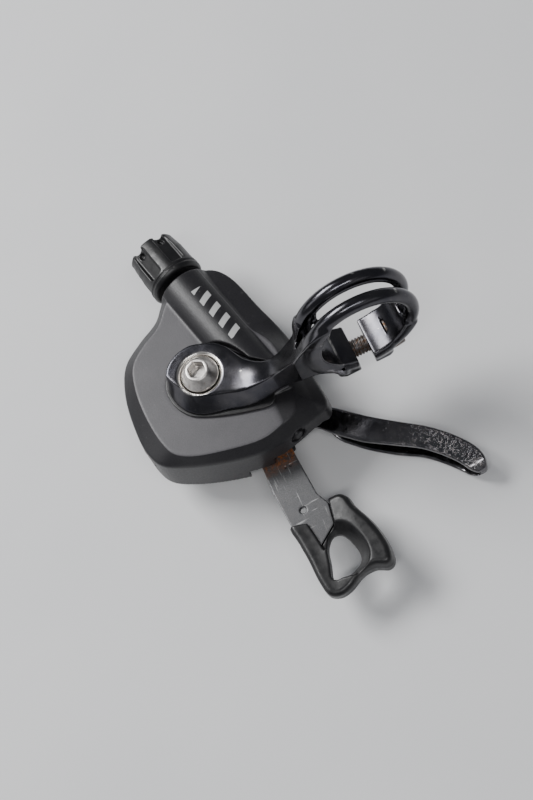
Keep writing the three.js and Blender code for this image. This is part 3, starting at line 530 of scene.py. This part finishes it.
LOOKS = {
    "clamp_alloy": speckled_alloy(),
    "cover_plastic": cover_plastic(),
    "black_plastic": black_plastic(),
    "bright_steel": bright_steel(),
    "dark_steel": dark_steel(),
    "plate_alloy": plate_alloy(),
    "lever_chrome": lever_chrome(),
    "pale_resin": pale_resin(),
    "plate_steel": bright_steel("plate_steel", (0.48, 0.47, 0.45), 0.2),
    "spring_steel": bright_steel("spring_steel", (0.42, 0.42, 0.41), 0.15),
}
BODIES = frame["record"]["behaviour"]["bodies"]
BODY_OF = {node: body for body, nodes in BODIES.items() for node in nodes}
SLOT_OF = {part["node"]: part["material_slot"] for part in frame["record"]["subparts"]}


def fine_piece(node, field, low, high, step, place=None, look=None):
    """Meshes a field and puts the piece in the place of its CAD node."""
    piece = surface(node + "_fine", field, low, high, step, place)
    piece.data.materials.append(LOOKS[look or SLOT_OF[node]])
    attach(piece, BODY_OF[node])
    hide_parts(node)


for name, node in frame["nodes"].items():
    for slot in node.material_slots:
        slot.material = LOOKS[SLOT_OF[name]]


# ------------------------------------------------------------------ clamp bracket

HOOP_RADIUS, HOOP_ROD, HOOP_OFFSET = 12.95, 1.85, 3.05
BAND_RADIUS, BAND_HALF = 14.7, 4.9
EAR_X, EAR_Z = (-9.6, 5.4), (-17, -9)
SPLIT_X = (-3.7, 0.3)
CLAMP_BOLT_Z, CLAMP_BOLT_FACE = -14.15, 5.5
BRACKET_BOLT_Z = -9.95
ARM_X = [-60, -33, -29, -24, -19, -14.5, -10.4, -8]
ARM = {
    "middle_y": [6, 6, 5, 2, 0.6, 0, 0, 0],
    "middle_top": [FOOT_TOP, FOOT_TOP, -9.0, -7.4, -2.9, 3.5, 7.0, 8.4],
    "fall": [0, 0.02, 0.12, 0.55, 0.95, 0.9, 0.7, 0.4],
    "front_low": [-14.2, -14.2, -13.2, -9.8, -7.4, -7.8, -10.6, -14.8],
    "back_low": [-14.2, -14.2, -14.2, -14.2, -13, -9.6, -11, -14.8],
}
ARM_PLAN = smooth([
    (-36.6, 18.9), (-40.2, 19.8), (-44.4, 19), (-47.6, 16.8), (-49.3, 13.6), (-49.6, 9.6), (-48.3, 5.8),
    (-46, 3), (-43, 1.3), (-38, 0), (-33.6, -1.5), (-28, -2.9), (-24, -3.7), (-19, -4.6), (-14.5, -4.9),
    (-10.4, -4.9), (-4, -4.9), (-2, 0), (-4, 4.9), (-10.4, 4.9), (-14.5, 5), (-19, 5.7), (-24, 7.2),
    (-27, 10), (-30, 13.8), (-33, 17),
], 4)


def clamp_field(x, y, z):
    """Two hoops, the half band under them, the ears and the arm that falls to the round foot."""
    round_bar = np.hypot(x, z)
    hoops = np.hypot(round_bar - HOOP_RADIUS, np.abs(y) - HOOP_OFFSET) - HOOP_ROD
    tilt = math.radians(64)
    lower_half = x * math.cos(tilt) + z * math.sin(tilt)
    band = both(round_bar - BAND_RADIUS, np.abs(y) - BAND_HALF, 0.9)
    band = both(both(band, 10.1 - round_bar, 0.1), lower_half, 0.4)
    body = either(hoops, band, 0.9)

    ears = both(slab(x, *EAR_X), slab(z, *EAR_Z), 0.5)
    ears = both(ears, (-x - z - 24.9) / math.sqrt(2), 0.5)
    ears = both(ears, (x - z - 21.2) / math.sqrt(2), 0.5)
    ears = both(ears, np.abs(y) - BAND_HALF, 0.6)
    body = either(body, ears, 1.2)

    at = {key: eased(x, ARM_X, values, 2.2) for key, values in ARM.items()}
    lean_front = np.interp(x, [-44, -38, -30, -24, -18], [0.8, 0.62, 0.5, 0.3, 0.0])
    lean_back = np.interp(x, [-24, -18], [0.2, 0.0])
    lean = lean_back + (lean_front - lean_back) * np.clip((14 - y) / 5, 0, 1)
    flank = (polygon(x, y, ARM_PLAN) + (z - FOOT_BOTTOM) * lean) / np.hypot(1, lean)
    aside = np.clip(y - at["middle_y"], -9, 9)
    crown = np.maximum(np.abs(aside) - 1, 0) ** 2
    top = at["middle_top"] - at["fall"] * aside - 0.05 * at["fall"] * crown * 0.3
    steep = eased(x, [-33, -26, -21, -17, -12, -8], [1, 0.9, 0.68, 0.55, 0.7, 0.9], 1.0)
    top = (z - top) * steep
    share = np.clip((y + 4.9) / 10, 0, 1)
    under = at["front_low"] + (at["back_low"] - at["front_low"]) * share
    arm = both(both(flank, top, 0.3), (under - z) * 0.85, 0.4)
    arm = both(arm, x + 7.6, 0.3)
    body = either(arm, body, 1.6)

    window = np.hypot((x + 13.5) / 4.2, (z - 9.5) / 9.2) - 1
    window = both(window * 4.2, np.abs(y) - (HOOP_OFFSET - HOOP_ROD), 0.6)
    body = cut(body, window, 0.5)
    body = cut(body, round_bar - BAR_RADIUS, 0.35)
    split = both(slab(x, *SPLIT_X), z + 8, 0.2)
    body = cut(body, split, 0.35)
    bolt_line = np.hypot(y, z - CLAMP_BOLT_Z)
    body = cut(body, both(bolt_line - 2.55, -12.5 - x, 0.1), 0.25)
    body = cut(body, both(bolt_line - 4.7, EAR_X[1] - x, 0.1), 0.2)
    seat = from_axle(x, y) - 5.0 - np.maximum(z - FOOT_TOP + 0.7, 0) * 1.2
    body = cut(body, np.maximum(seat, -10.2 - z), 0.08)
    return cut(body, from_axle(x, y) - 2.9, 0.15)


fine_piece("clamp_bracket", clamp_field, (-50, -5, -17.2), (15, 21, 15), 0.3)


# ------------------------------------------------------------------ housing

WALL = smooth([
    (-15.4, -7.4), (-15.4, 1), (-16.6, 13), (-20, 25), (-23.4, 36.5), (-26.6, 40.6), (-32, 42.4),
    (-38.5, 41.6), (-42.6, 38.2), (-46, 34), (-52, 30.6), (-57.8, 26.2), (-60.9, 18.5), (-61.9, 8),
    (-61.4, 1.4), (-59.2, -3.6), (-53.5, -7.2), (-44.5, -10.6), (-35.5, -12.7), (-30.5, -12.8),
    (-26.5, -12), (-23, -10.9), (-18.5, -9.2),
], 5)
TOP = smooth([
    (-22.6, -4.2), (-21.4, 2), (-21, 12), (-27, 22), (-32, 35), (-36.5, 39.5), (-41, 36.2),
    (-45.6, 30.8), (-51, 27.7), (-55.4, 23.8), (-57.2, 17.3), (-57.4, 9), (-56.3, 1), (-54.6, -3.4),
    (-51, -6.1), (-42.6, -8.7), (-33.2, -10.3), (-28.4, -9.4), (-23.4, -7.2),
], 5)
SHIM = smooth([
    (-27, -3.4), (-25.5, 0), (-26.5, 6), (-31, 15.5), (-35.5, 19), (-41, 20), (-46, 18.3),
    (-49.6, 14.7), (-50, 9), (-47.5, 4), (-43.5, 1.3), (-33.5, -2.4),
], 5)
CEILING = -16.7
CABLE_BORE_RADIUS, CABLE_BORE_DEPTH = 3.6, 30
PLUG = (-60.5, 2.1, -22.0)
PLUG_FACING = math.radians(192)
RING = (-25.0, -11.5, -20.6)
RING_FACING = (0.336, -0.942)
RING_RADIUS, RING_HALF_WIDTH, RING_DEPTH = 1.75, 0.4, 0.8


def along_cable(x, y):
    """Distances along the cable and across it, in plan, from where the barrel starts."""
    dx, dy = x - CABLE_END[0], y - CABLE_END[1]
    return dx * CABLE_DIR[0] + dy * CABLE_DIR[1], dx * CABLE_DIR[1] - dy * CABLE_DIR[0]


def facing(x, y, point, direction):
    """Distances out of a wall and sideways along it, in plan, from a point on the wall."""
    dx, dy = x - point[0], y - point[1]
    return dx * direction[0] + dy * direction[1], -dx * direction[1] + dy * direction[0]


def cover_field(x, y, z):
    """A shell between the wall and the bevelled top, with the cable boss and its openings."""
    wall, top = polygon(x, y, WALL), polygon(x, y, TOP)
    side = (wall - 0.0737 * (CABLE_Z - z)) / 1.003
    past_top = np.clip(top, 0, None)
    share = past_top / (past_top + np.clip(-wall, 0, None) + 1e-6)
    shoulder = SHOULDER - np.interp(x, [-30, -25, -18], [0, 1.0, 2.6]) * np.clip((20 - y) / 8, 0, 1)
    roof = (z - COVER_FLAT + (COVER_FLAT - shoulder) * share) * np.where(top > 0, 0.78, 1.0)
    body = both(both(side, roof, 0.35), COVER_WALL - z, 0.2)
    facet = (z - COVER_FLAT + 0.1 * (x + 28)) / 1.005
    body = both(body, np.where((y < -1) & (x > -30), facet, -9), 0.12)

    u, v = along_cable(x, y)
    boss = both(np.hypot(v, z - CABLE_Z) - BOSS_RADIUS, u - BOSS_END, 0.5)
    boss = np.maximum(boss, -41 - u)
    body = either(body, boss, 0.35)

    inner = both(wall + 1.9, z + 21.3, 0.3)
    ceiling = np.interp(x, [-34, -29, -21, -17], [CEILING, -18.2, -20.2, -22.4])
    ceiling = np.where(y < 20, ceiling, CEILING)
    inner = np.minimum(inner, both(top + 2.2, np.maximum(-23 - z, z - ceiling), 0.3))
    body = cut(body, inner, 0.2)
    bore = np.hypot(v, z - CABLE_Z) - CABLE_BORE_RADIUS
    body = cut(body, np.maximum(bore, -CABLE_BORE_DEPTH - u), 0.2)
    body = cut(body, np.maximum(from_axle(x, y) - 3.9, -20 - z), 0.1)
    slot = polygon(x, y, [(-40.3, -20), (-5, -20), (-5, 24), (-24, 24), (-24, -4), (-40.3, -8)])
    body = cut(body, both(slot, z + 26, 0.5), 0.2)
    blade = polygon(x, y, [(-37.4, -20), (-5, -20), (-5, 2), (-24, 2)])
    slot_top = np.interp(x, [-36.4, -33, -24, -21, -18, -15.4], [-26, -23.2, -23.6, -23.8, -24.9, -27.1])
    body = cut(body, both(blade, (z - slot_top) * 0.9, 0.3), 0.2)
    pocket = np.maximum(polygon(x, y, SHIM) - 0.4, COVER_FLAT - z)
    body = cut(body, pocket, 0.1)
    arm_way = polygon(x, y, [
        (-36, -2), (-8, -8), (-8, 6), (-19, 6.4), (-24, 7.4), (-29, 11), (-34.4, 16.4),
    ])
    body = cut(body, np.maximum(arm_way, COVER_FLAT - z), 0.1)
    body = cut(body, BOSS_END - u, 0.3)
    out, aside = facing(x, y, PLUG, (math.cos(PLUG_FACING), math.sin(PLUG_FACING)))
    body = cut(body, np.maximum(np.hypot(aside, z - PLUG[2]) - 2.75, -3 - out), 0.25)
    # a shallow ring groove in the front right-hand wall
    out, aside = facing(x, y, RING, RING_FACING)
    groove = np.abs(np.hypot(aside, z - RING[2]) - RING_RADIUS) - RING_HALF_WIDTH
    return cut(body, np.maximum(groove, -RING_DEPTH - out), 0.15)


fine_piece("top_cover", cover_field, (-63, -15, -29.2), (-14.5, 44, -11.8), 0.3)

SHIM_LEVELS = (-14.9, -14.3)


def shim_field(x, y, z):
    """The thin plate between the foot and the floor of its pocket."""
    plate = both(polygon(x, y, SHIM), slab(z, *SHIM_LEVELS), 0.08)
    return cut(plate, from_axle(x, y) - 4.4, 0.05)


fine_piece("bracket_shim", shim_field, (-51, -4.5, -15), (-25, 21, -14.2), 0.2, look="black_plastic")

TRAY_TOP, TRAY_FLOOR, TRAY_BOTTOM = -29.2, -34.6, -36.2
TRAY_DRAFT = 0.36


def tray_field(x, y, z):
    """The bottom cover: a shallow tray, open where the thumb lever comes out."""
    wall = polygon(x, y, WALL)
    inset = (TRAY_TOP - z) * TRAY_DRAFT
    tray = both((wall + 1.5 + inset) / 1.06, slab(z, TRAY_BOTTOM, TRAY_TOP), 0.9)
    hollow = both((wall + 3.3 + inset) / 1.06, TRAY_FLOOR - z, 0.4)
    body = cut(tray, hollow, 0.3)
    way = polygon(x, y, [(-50, -30), (5, -30), (5, 20), (-24, 20), (-31, 6), (-40, -3.5), (-50, -3.5)])
    body = cut(body, both(way, slab(z, TRAY_FLOOR, -20), 0.3), 0.3)
    corner = polygon(x, y, [(-27.6, -30), (5, -30), (5, 5), (-17, 2), (-21, -3), (-27.6, -3)])
    body = cut(body, corner, 0.5)
    body = cut(body, from_axle(x, y) - 4.6, 0.3)
    for cx, cy in (axis_of("cover_screw_%d" % k) for k in (1, 2, 3)):
        body = cut(body, np.hypot(x - cx, y - cy) - 1.5, 0.3)
    groove = np.abs(from_axle(x, y) - 7.2) - 0.45
    return cut(body, both(groove, z + 35.8, 0.2), 0.15)


fine_piece("bottom_cover", tray_field, (-63, -14, -36.3), (-15, 43, -29), 0.35)


# ------------------------------------------------------------------ bolts and plug

SOCKET_SIZE = 4


def bolt_field(head, top, height, shank, length, pitch=0.0):
    """A bolt along local Z with a conical head and a hexagon socket, threaded if it has a pitch."""
    def field(x, y, z):
        around = np.hypot(x, y)
        slope = (head - top) / (height - 0.5)
        cone = (around - head + np.maximum(z - 0.5, 0) * slope) / math.hypot(1, slope)
        body = both(cone, slab(z, 0, height), 0.18)
        core = shank
        if pitch:
            turn = np.arctan2(y, x) / (2 * math.pi) + z / pitch
            core = shank - 0.22 + 0.2 * np.cos(2 * math.pi * turn) * np.clip((-z - 2) / 1.5, 0, 1)
        body = either(body, both(around - core, slab(z, -length, 0.3), 0.2), 0.15)
        hole = np.maximum(hexagon(x, y, SOCKET_SIZE), height * 0.3 - z)
        return cut(body, hole, 0.12)
    return field


bolt_place = (Matrix.Translation(Vector((CLAMP_BOLT_FACE, 0, CLAMP_BOLT_Z)) * MM)
              @ Matrix.Rotation(math.pi / 2, 4, "Y"))
fine_piece("clamp_bolt", bolt_field(4.3, 4.0, 3.4, 2.4, 17, 0.8),
           (-4.4, -4.4, -17.1), (4.4, 4.4, 3.5), 0.16, bolt_place)
axle_place = Matrix.Translation(Vector((AXLE[0], AXLE[1], BRACKET_BOLT_Z)) * MM)
fine_piece("bracket_bolt", bolt_field(4.8, 2.9, 3.2, 2.4, 10.2),
           (-4.9, -4.9, -10.3), (4.9, 4.9, 3.5), 0.14, axle_place)


def plug_field(x, y, z):
    """A round plug along local Z with a slot across its end."""
    around = np.hypot(x, y)
    body = both(around - 2.5, slab(z, -2.4, 1.2), 0.35)
    return cut(body, both(np.abs(y) - 0.4, 0.65 - z, 0.05), 0.12)


plug_place = (Matrix.Translation(Vector(PLUG) * MM) @ Matrix.Rotation(PLUG_FACING, 4, "Z")
              @ Matrix.Rotation(math.pi / 2, 4, "Y"))
fine_piece("cable_plug", plug_field, (-2.6, -2.6, -2.5), (2.6, 2.6, 1.3), 0.1, plug_place)


# ------------------------------------------------------------------ barrel adjuster

BARREL_LENGTH, BARREL_START, BARREL_RIBS = 13.3, 0.2, 6
THREAD_PITCH = 0.8
cable_place = (Matrix.Translation(Vector((CABLE_END[0], CABLE_END[1], CABLE_Z)) * MM)
               @ Matrix.Rotation(CABLE_ANGLE, 4, "Z") @ Matrix.Rotation(math.pi / 2, 4, "Y"))


def barrel_field(x, y, z):
    """A ribbed barrel along local Z with a threaded stem and a socket for the casing."""
    around = np.hypot(x, y)
    radius = np.interp(z, [BARREL_START, BARREL_START + 1, 8.5, BARREL_LENGTH], [6.9, 7.5, 7.4, 6.8])
    body = both(around - radius, slab(z, BARREL_START, BARREL_LENGTH), 0.5)
    # the slots lie between the ribs, one of which faces straight up (local -X)
    sector = 2 * math.pi / BARREL_RIBS
    angle = np.arctan2(y, x) + math.pi
    turn = (angle % sector) - sector / 2
    aside, out = around * np.sin(turn), around * np.cos(turn)
    slot = both(both(np.abs(aside) - 1.75 - (out - 6) * 0.35, slab(z, 3.0, 12.6), 0.8), 6.2 - out, 0.3)
    body = cut(body, slot, 0.3)
    notch = np.hypot(aside, z - BARREL_LENGTH - 0.9) - 1.9
    body = cut(body, notch, 0.35)
    pip = np.hypot(np.hypot(aside, z - 10.9), out - 6.1) - 0.9
    body = cut(body, pip, 0.15)
    groove = np.hypot(around - 7.6, z - 1.9) - 0.35
    body = cut(body, groove, 0.1)
    turns = np.arctan2(y, x) / (2 * math.pi) + z / THREAD_PITCH
    thread = 3.3 - 0.12 + 0.12 * np.cos(2 * math.pi * turns)
    body = either(body, both(around - thread, slab(z, -14, 1), 0.2), 0.2)
    body = cut(body, both(around - 2.8, 6.2 - z, 0.1), 0.25)
    return cut(body, around - 1.2, 0.1)


fine_piece("barrel_adjuster", barrel_field, (-7.6, -7.6, -14.1), (7.6, 7.6, 13.5), 0.2, cable_place)


# ------------------------------------------------------------------ release lever

PLATE = [
    (-37, -12.5), (-37.2, -20), (-36.5, -30.2), (-35.6, -38), (-33, -38.6), (-26.6, -34), (-25.7, -28.6),
    (-27.3, -25), (-28, -14), (-28.4, -3.6), (-29, 1.8), (-33, 2.2), (-39.4, -1.2), (-40.2, -3.4),
    (-38.6, -4.8),
]
PLATE_BOTTOM, PLATE_TOP = -28.1, -26.5
RELEASE_PIN = (-31, -1)


def plate_field(x, y, z):
    """A pressed plate with its pivot hole, a small hole and two punched dots."""
    body = both(rounded(x, y, PLATE, 0.8), slab(z, PLATE_BOTTOM, PLATE_TOP), 0.18)
    body = cut(body, np.hypot(x - RELEASE_PIN[0], y - RELEASE_PIN[1]) - 1.7, 0.1)
    hole = np.hypot(x + 32.1, y + 27.4)
    body = cut(body, hole - 0.85, 0.3)
    for px, py in ((-31.6, -15.1), (-30.3, -15.2)):
        body = cut(body, np.hypot(np.hypot(x - px, y - py), z - PLATE_TOP) - 0.3, 0.05)
    return body


fine_piece("release_plate", plate_field, (-40.5, -39, -28.3), (-26, 2.5, -26.3), 0.16)

PADDLE = smooth([
    (-36.8, -29.8), (-36.5, -35), (-36.1, -40), (-35.9, -46), (-35, -50), (-32.6, -51.3), (-29.6, -50.9),
    (-25.6, -49), (-22.2, -48.9), (-19.3, -50.2), (-17.6, -49.6), (-16.6, -46.6), (-16.9, -42),
    (-18, -37.6), (-20, -32.6), (-20.6, -29.8), (-22, -28.2), (-24.8, -27.8), (-27.4, -28.6), (-31.5, -29.6),
], 5)
WINDOW = smooth([
    (-30.4, -38.4), (-31.6, -42.6), (-32.6, -46.6), (-31.6, -47.6), (-28.6, -47.1), (-25, -45.6),
    (-24.2, -44), (-24.6, -40.4), (-26.2, -37), (-28.2, -36.4),
], 5)
TONGUE = [
    (-37.2, -12.5), (-37.4, -29.9), (-32.6, -31.2), (-32.1, -34.6), (-31.5, -39.6), (-30.6, -38.9),
    (-28.6, -36.4), (-26.4, -34.4), (-25.4, -29), (-26.9, -26.4), (-27, -12),
]


def paddle_field(x, y, z):
    """The finger loop, which rises to the right, with the plate's end let into it."""
    outer, window = polygon(x, y, PADDLE), polygon(x, y, WINDOW)
    crest = eased(x, [-37, -33, -27, -22, -17], [-25.4, -25.6, -24.9, -23.8, -23.6], 1.0)
    side = (outer + np.maximum(z - PLATE_TOP, 0) * 0.22) / 1.02
    body = both(side, np.maximum(-30 - z, z - crest), 1.1)
    flare = np.maximum(z + 28.4, 0) * 0.62 * np.clip((x + 30.5) / 4, 0, 1)
    body = cut(body, (window - flare) / 1.15, 0.35)
    tongue = rounded(x, y, TONGUE, 0.3)
    body = cut(body, np.maximum(tongue, -26.42 - z), 0.35)
    inside = rounded(x, y, PLATE[:9] + [(-28, -10), (-37, -10)], 0.3) - 0.3
    return cut(body, np.maximum(inside, slab(z, -28.4, -26.2)), 0.1)


fine_piece("release_paddle", paddle_field, (-37.2, -51.6, -30.2), (-16.2, -27, -23.4), 0.22)


# ------------------------------------------------------------------ thumb lever

# x, y, height and depth of the blade at each station
STATIONS = [
    (-20.5, 0.4, 1.6, 5), (-17.4, -1.6, 2.6, 6.2), (-13, -5.4, 7.4, 6.4), (-7, -10.9, 8, 5.8),
    (-1, -15.7, 8, 5.2), (5, -20.4, 7.8, 4.8), (10.2, -26, 7.6, 4.8), (13.4, -31.3, 7.2, 4.6),
    (14.2, -36.6, 6, 4),
]
BLADE_WALL = 1.5
ARM_BOTTOM = -32.1
TIP_LENGTH = 3.4
LEVER_ARM = [
    (-33.6, 13.4), (-36.5, 17), (-41, 18.3), (-50, 18.4), (-53.8, 17.6), (-55.4, 15.4), (-54.2, 12.8),
    (-48.2, 9), (-46, 4), (-40, 1), (-32, -2.4), (-26, -5.4), (-19.6, -6), (-17.6, -1.8),
    (-22, 1.6), (-30, 5),
]


def open_curve(points, per_side=8):
    """An open Catmull-Rom curve with the place along the stations beside each point."""
    pts = [np.array(p[:2], float) for p in points]
    pts = [2 * pts[0] - pts[1]] + pts + [2 * pts[-1] - pts[-2]]
    line = []
    for i in range(1, len(pts) - 2):
        for k in range(per_side + (i == len(pts) - 3)):
            t = k / per_side
            a, b, c, d = pts[i - 1:i + 3]
            value = 0.5 * (2 * b + (c - a) * t + (2 * a - 5 * b + 4 * c - d) * t ** 2
                           + (3 * b - 3 * c + d - a) * t ** 3)
            line.append((value[0], value[1], i - 1 + t))
    return line


def lever_field(x, y, z):
    """A channel-shaped blade along a curve, with a spoon end and a flat arm round the axle."""
    spine = open_curve(STATIONS)
    best = np.full(np.broadcast_shapes(x.shape, y.shape), 1e9)
    place, inward, beyond = (np.zeros_like(best) for _ in range(3))
    to_go = sum(math.hypot(b[0] - a[0], b[1] - a[1]) for a, b in zip(spine, spine[1:]))
    for k, ((ax, ay, s0), (bx, by, s1)) in enumerate(zip(spine, spine[1:])):
        ex, ey = bx - ax, by - ay
        length = math.hypot(ex, ey)
        raw = ((x - ax) * ex + (y - ay) * ey) / length ** 2
        t = np.clip(raw, 0, 1)
        dx, dy = x - ax - ex * t, y - ay - ey * t
        squared = dx * dx + dy * dy
        nearer = squared < best
        side = ((x - ax) * ey - (y - ay) * ex) / length
        best = np.where(nearer, squared, best)
        place = np.where(nearer, s0 + (s1 - s0) * t, place)
        inward = np.where(nearer, side, inward)
        covered = raw if k == len(spine) - 2 else t
        beyond = np.where(nearer, covered * length - to_go, beyond)
        to_go -= length
    numbers = range(len(STATIONS))
    height = eased(place, numbers, [s[2] for s in STATIONS], 0.3)
    depth = eased(place, numbers, [s[3] for s in STATIONS], 0.3)
    lip = np.minimum(depth * 1.3, height * 0.85)
    thick = np.minimum(BLADE_WALL, height * 0.4)
    # the end is rounded like the end of a spoon: its section shrinks towards the middle of the blade
    near_end = np.clip((beyond + TIP_LENGTH) / TIP_LENGTH, 0, 0.97)
    size = np.sqrt(1 - near_end ** 2)
    across = depth / 2 + (inward - depth / 2) / size
    down = height / 2 + (LEVER_TOP - z - height / 2) / size
    shelf = depth + 1.1 * np.clip((place - 1.5) / 1.5, 0, 1)
    section = [
        (0.15, 0.0), (shelf, 0.3), (shelf, 0.3 + thick), (thick + 0.6, 0.2 + thick), (thick, height / 2),
        (thick + 0.4, height - thick * 0.8), (lip, height - thick * 0.6), (lip, height), (0.7, height),
        (-0.2, height / 2),
    ]
    blade = rounded(across, down, section, 0.45) * size
    web = both(slab(across, 0, depth * 0.9), slab(down, 0.6, height * 0.98), 0.5) * size
    blade = either(blade, both(web, -0.9 - beyond, 0.2), 0.4)
    blade = both(blade, beyond, 0.2)
    blade = both(blade, (0.02 - place) * 4, 0.2)
    arm = both(rounded(x, y, LEVER_ARM, 1.0), slab(z, ARM_BOTTOM, LEVER_TOP), 0.15)
    arm = cut(arm, from_axle(x, y) - 3.7, 0.1)
    return either(arm, blade, 0.5)


fine_piece("main_lever", lever_field, (-56, -38.6, -39), (15, 19, -30.3), 0.25)


# ------------------------------------------------------------------ floor, light and camera

FLOOR_SIZE, FLOOR_POINTS, FLOOR_GAP = 4.0, 9, 0.0002  # metres, points along a side, metres


def floor_sheet(z):
    mesh = bpy.data.meshes.new("floor")
    line = [(-0.5 + k / (FLOOR_POINTS - 1)) * FLOOR_SIZE for k in range(FLOOR_POINTS)]
    corners = [r * FLOOR_POINTS + c for r in range(FLOOR_POINTS - 1) for c in range(FLOOR_POINTS - 1)]
    faces = [(k, k + 1, k + FLOOR_POINTS + 1, k + FLOOR_POINTS) for k in corners]
    mesh.from_pydata([(x, y, z) for y in line for x in line], [], faces)
    return add_object("floor", mesh)


floor = floor_sheet(float(cad_box[0][2]) - FLOOR_GAP)
floor.data.materials.append(floor_paper())

# name: place, size and power of each soft light, in metres and watts
LIGHTS = {
    "overhead": ((-0.4, 0.45, 0.62), (0.45, 0.3), 7.5),
    "above_camera": ((-0.02, -0.34, 0.70), (0.5, 0.07), 2.0),
    "side": ((-0.7, 0.1, 0.45), (0.3, 0.5), 0.7),
    "front": ((0.35, -0.75, 0.5), (0.7, 0.3), 0.25),
}
LIT_POINT = (-0.02, 0.0, -0.02)


def softbox(name, place, size, power):
    data = bpy.data.lights.new(name, "AREA")
    data.shape = "RECTANGLE"
    data.size, data.size_y = size
    data.energy = power
    lamp = add_object(name, data)
    lamp.location = place
    direction = Vector(LIT_POINT) - Vector(place)
    lamp.rotation_euler = direction.to_track_quat("-Z", "Y").to_euler()


for light, settings in LIGHTS.items():
    softbox(light, *settings)

world = bpy.data.worlds.new("soft_room")
bpy.context.scene.world = world
world.use_nodes = True
background = world.node_tree.nodes["Background"].inputs
background["Color"].default_value = (0.9, 0.93, 1.0, 1)
background["Strength"].default_value = 0.17

CAMERA_PLACE = (-12.68, -148.45, 297.6)
CAMERA_AXES = ((0.8952, -0.3846, -0.2252), (0.4434, 0.8195, 0.3631), (0.0449, -0.4249, 0.9041))
camera_data = bpy.data.cameras.new("camera")
camera_data.lens, camera_data.sensor_width = 63.0, 36.0
camera_data.clip_start, camera_data.clip_end = 0.01, 20.0
camera = add_object("camera", camera_data)
turn = Matrix(CAMERA_AXES).transposed().to_quaternion().normalized()
camera.matrix_world = Matrix.Translation(Vector(CAMERA_PLACE) * MM) @ turn.to_matrix().to_4x4()
bpy.context.scene.camera = camera
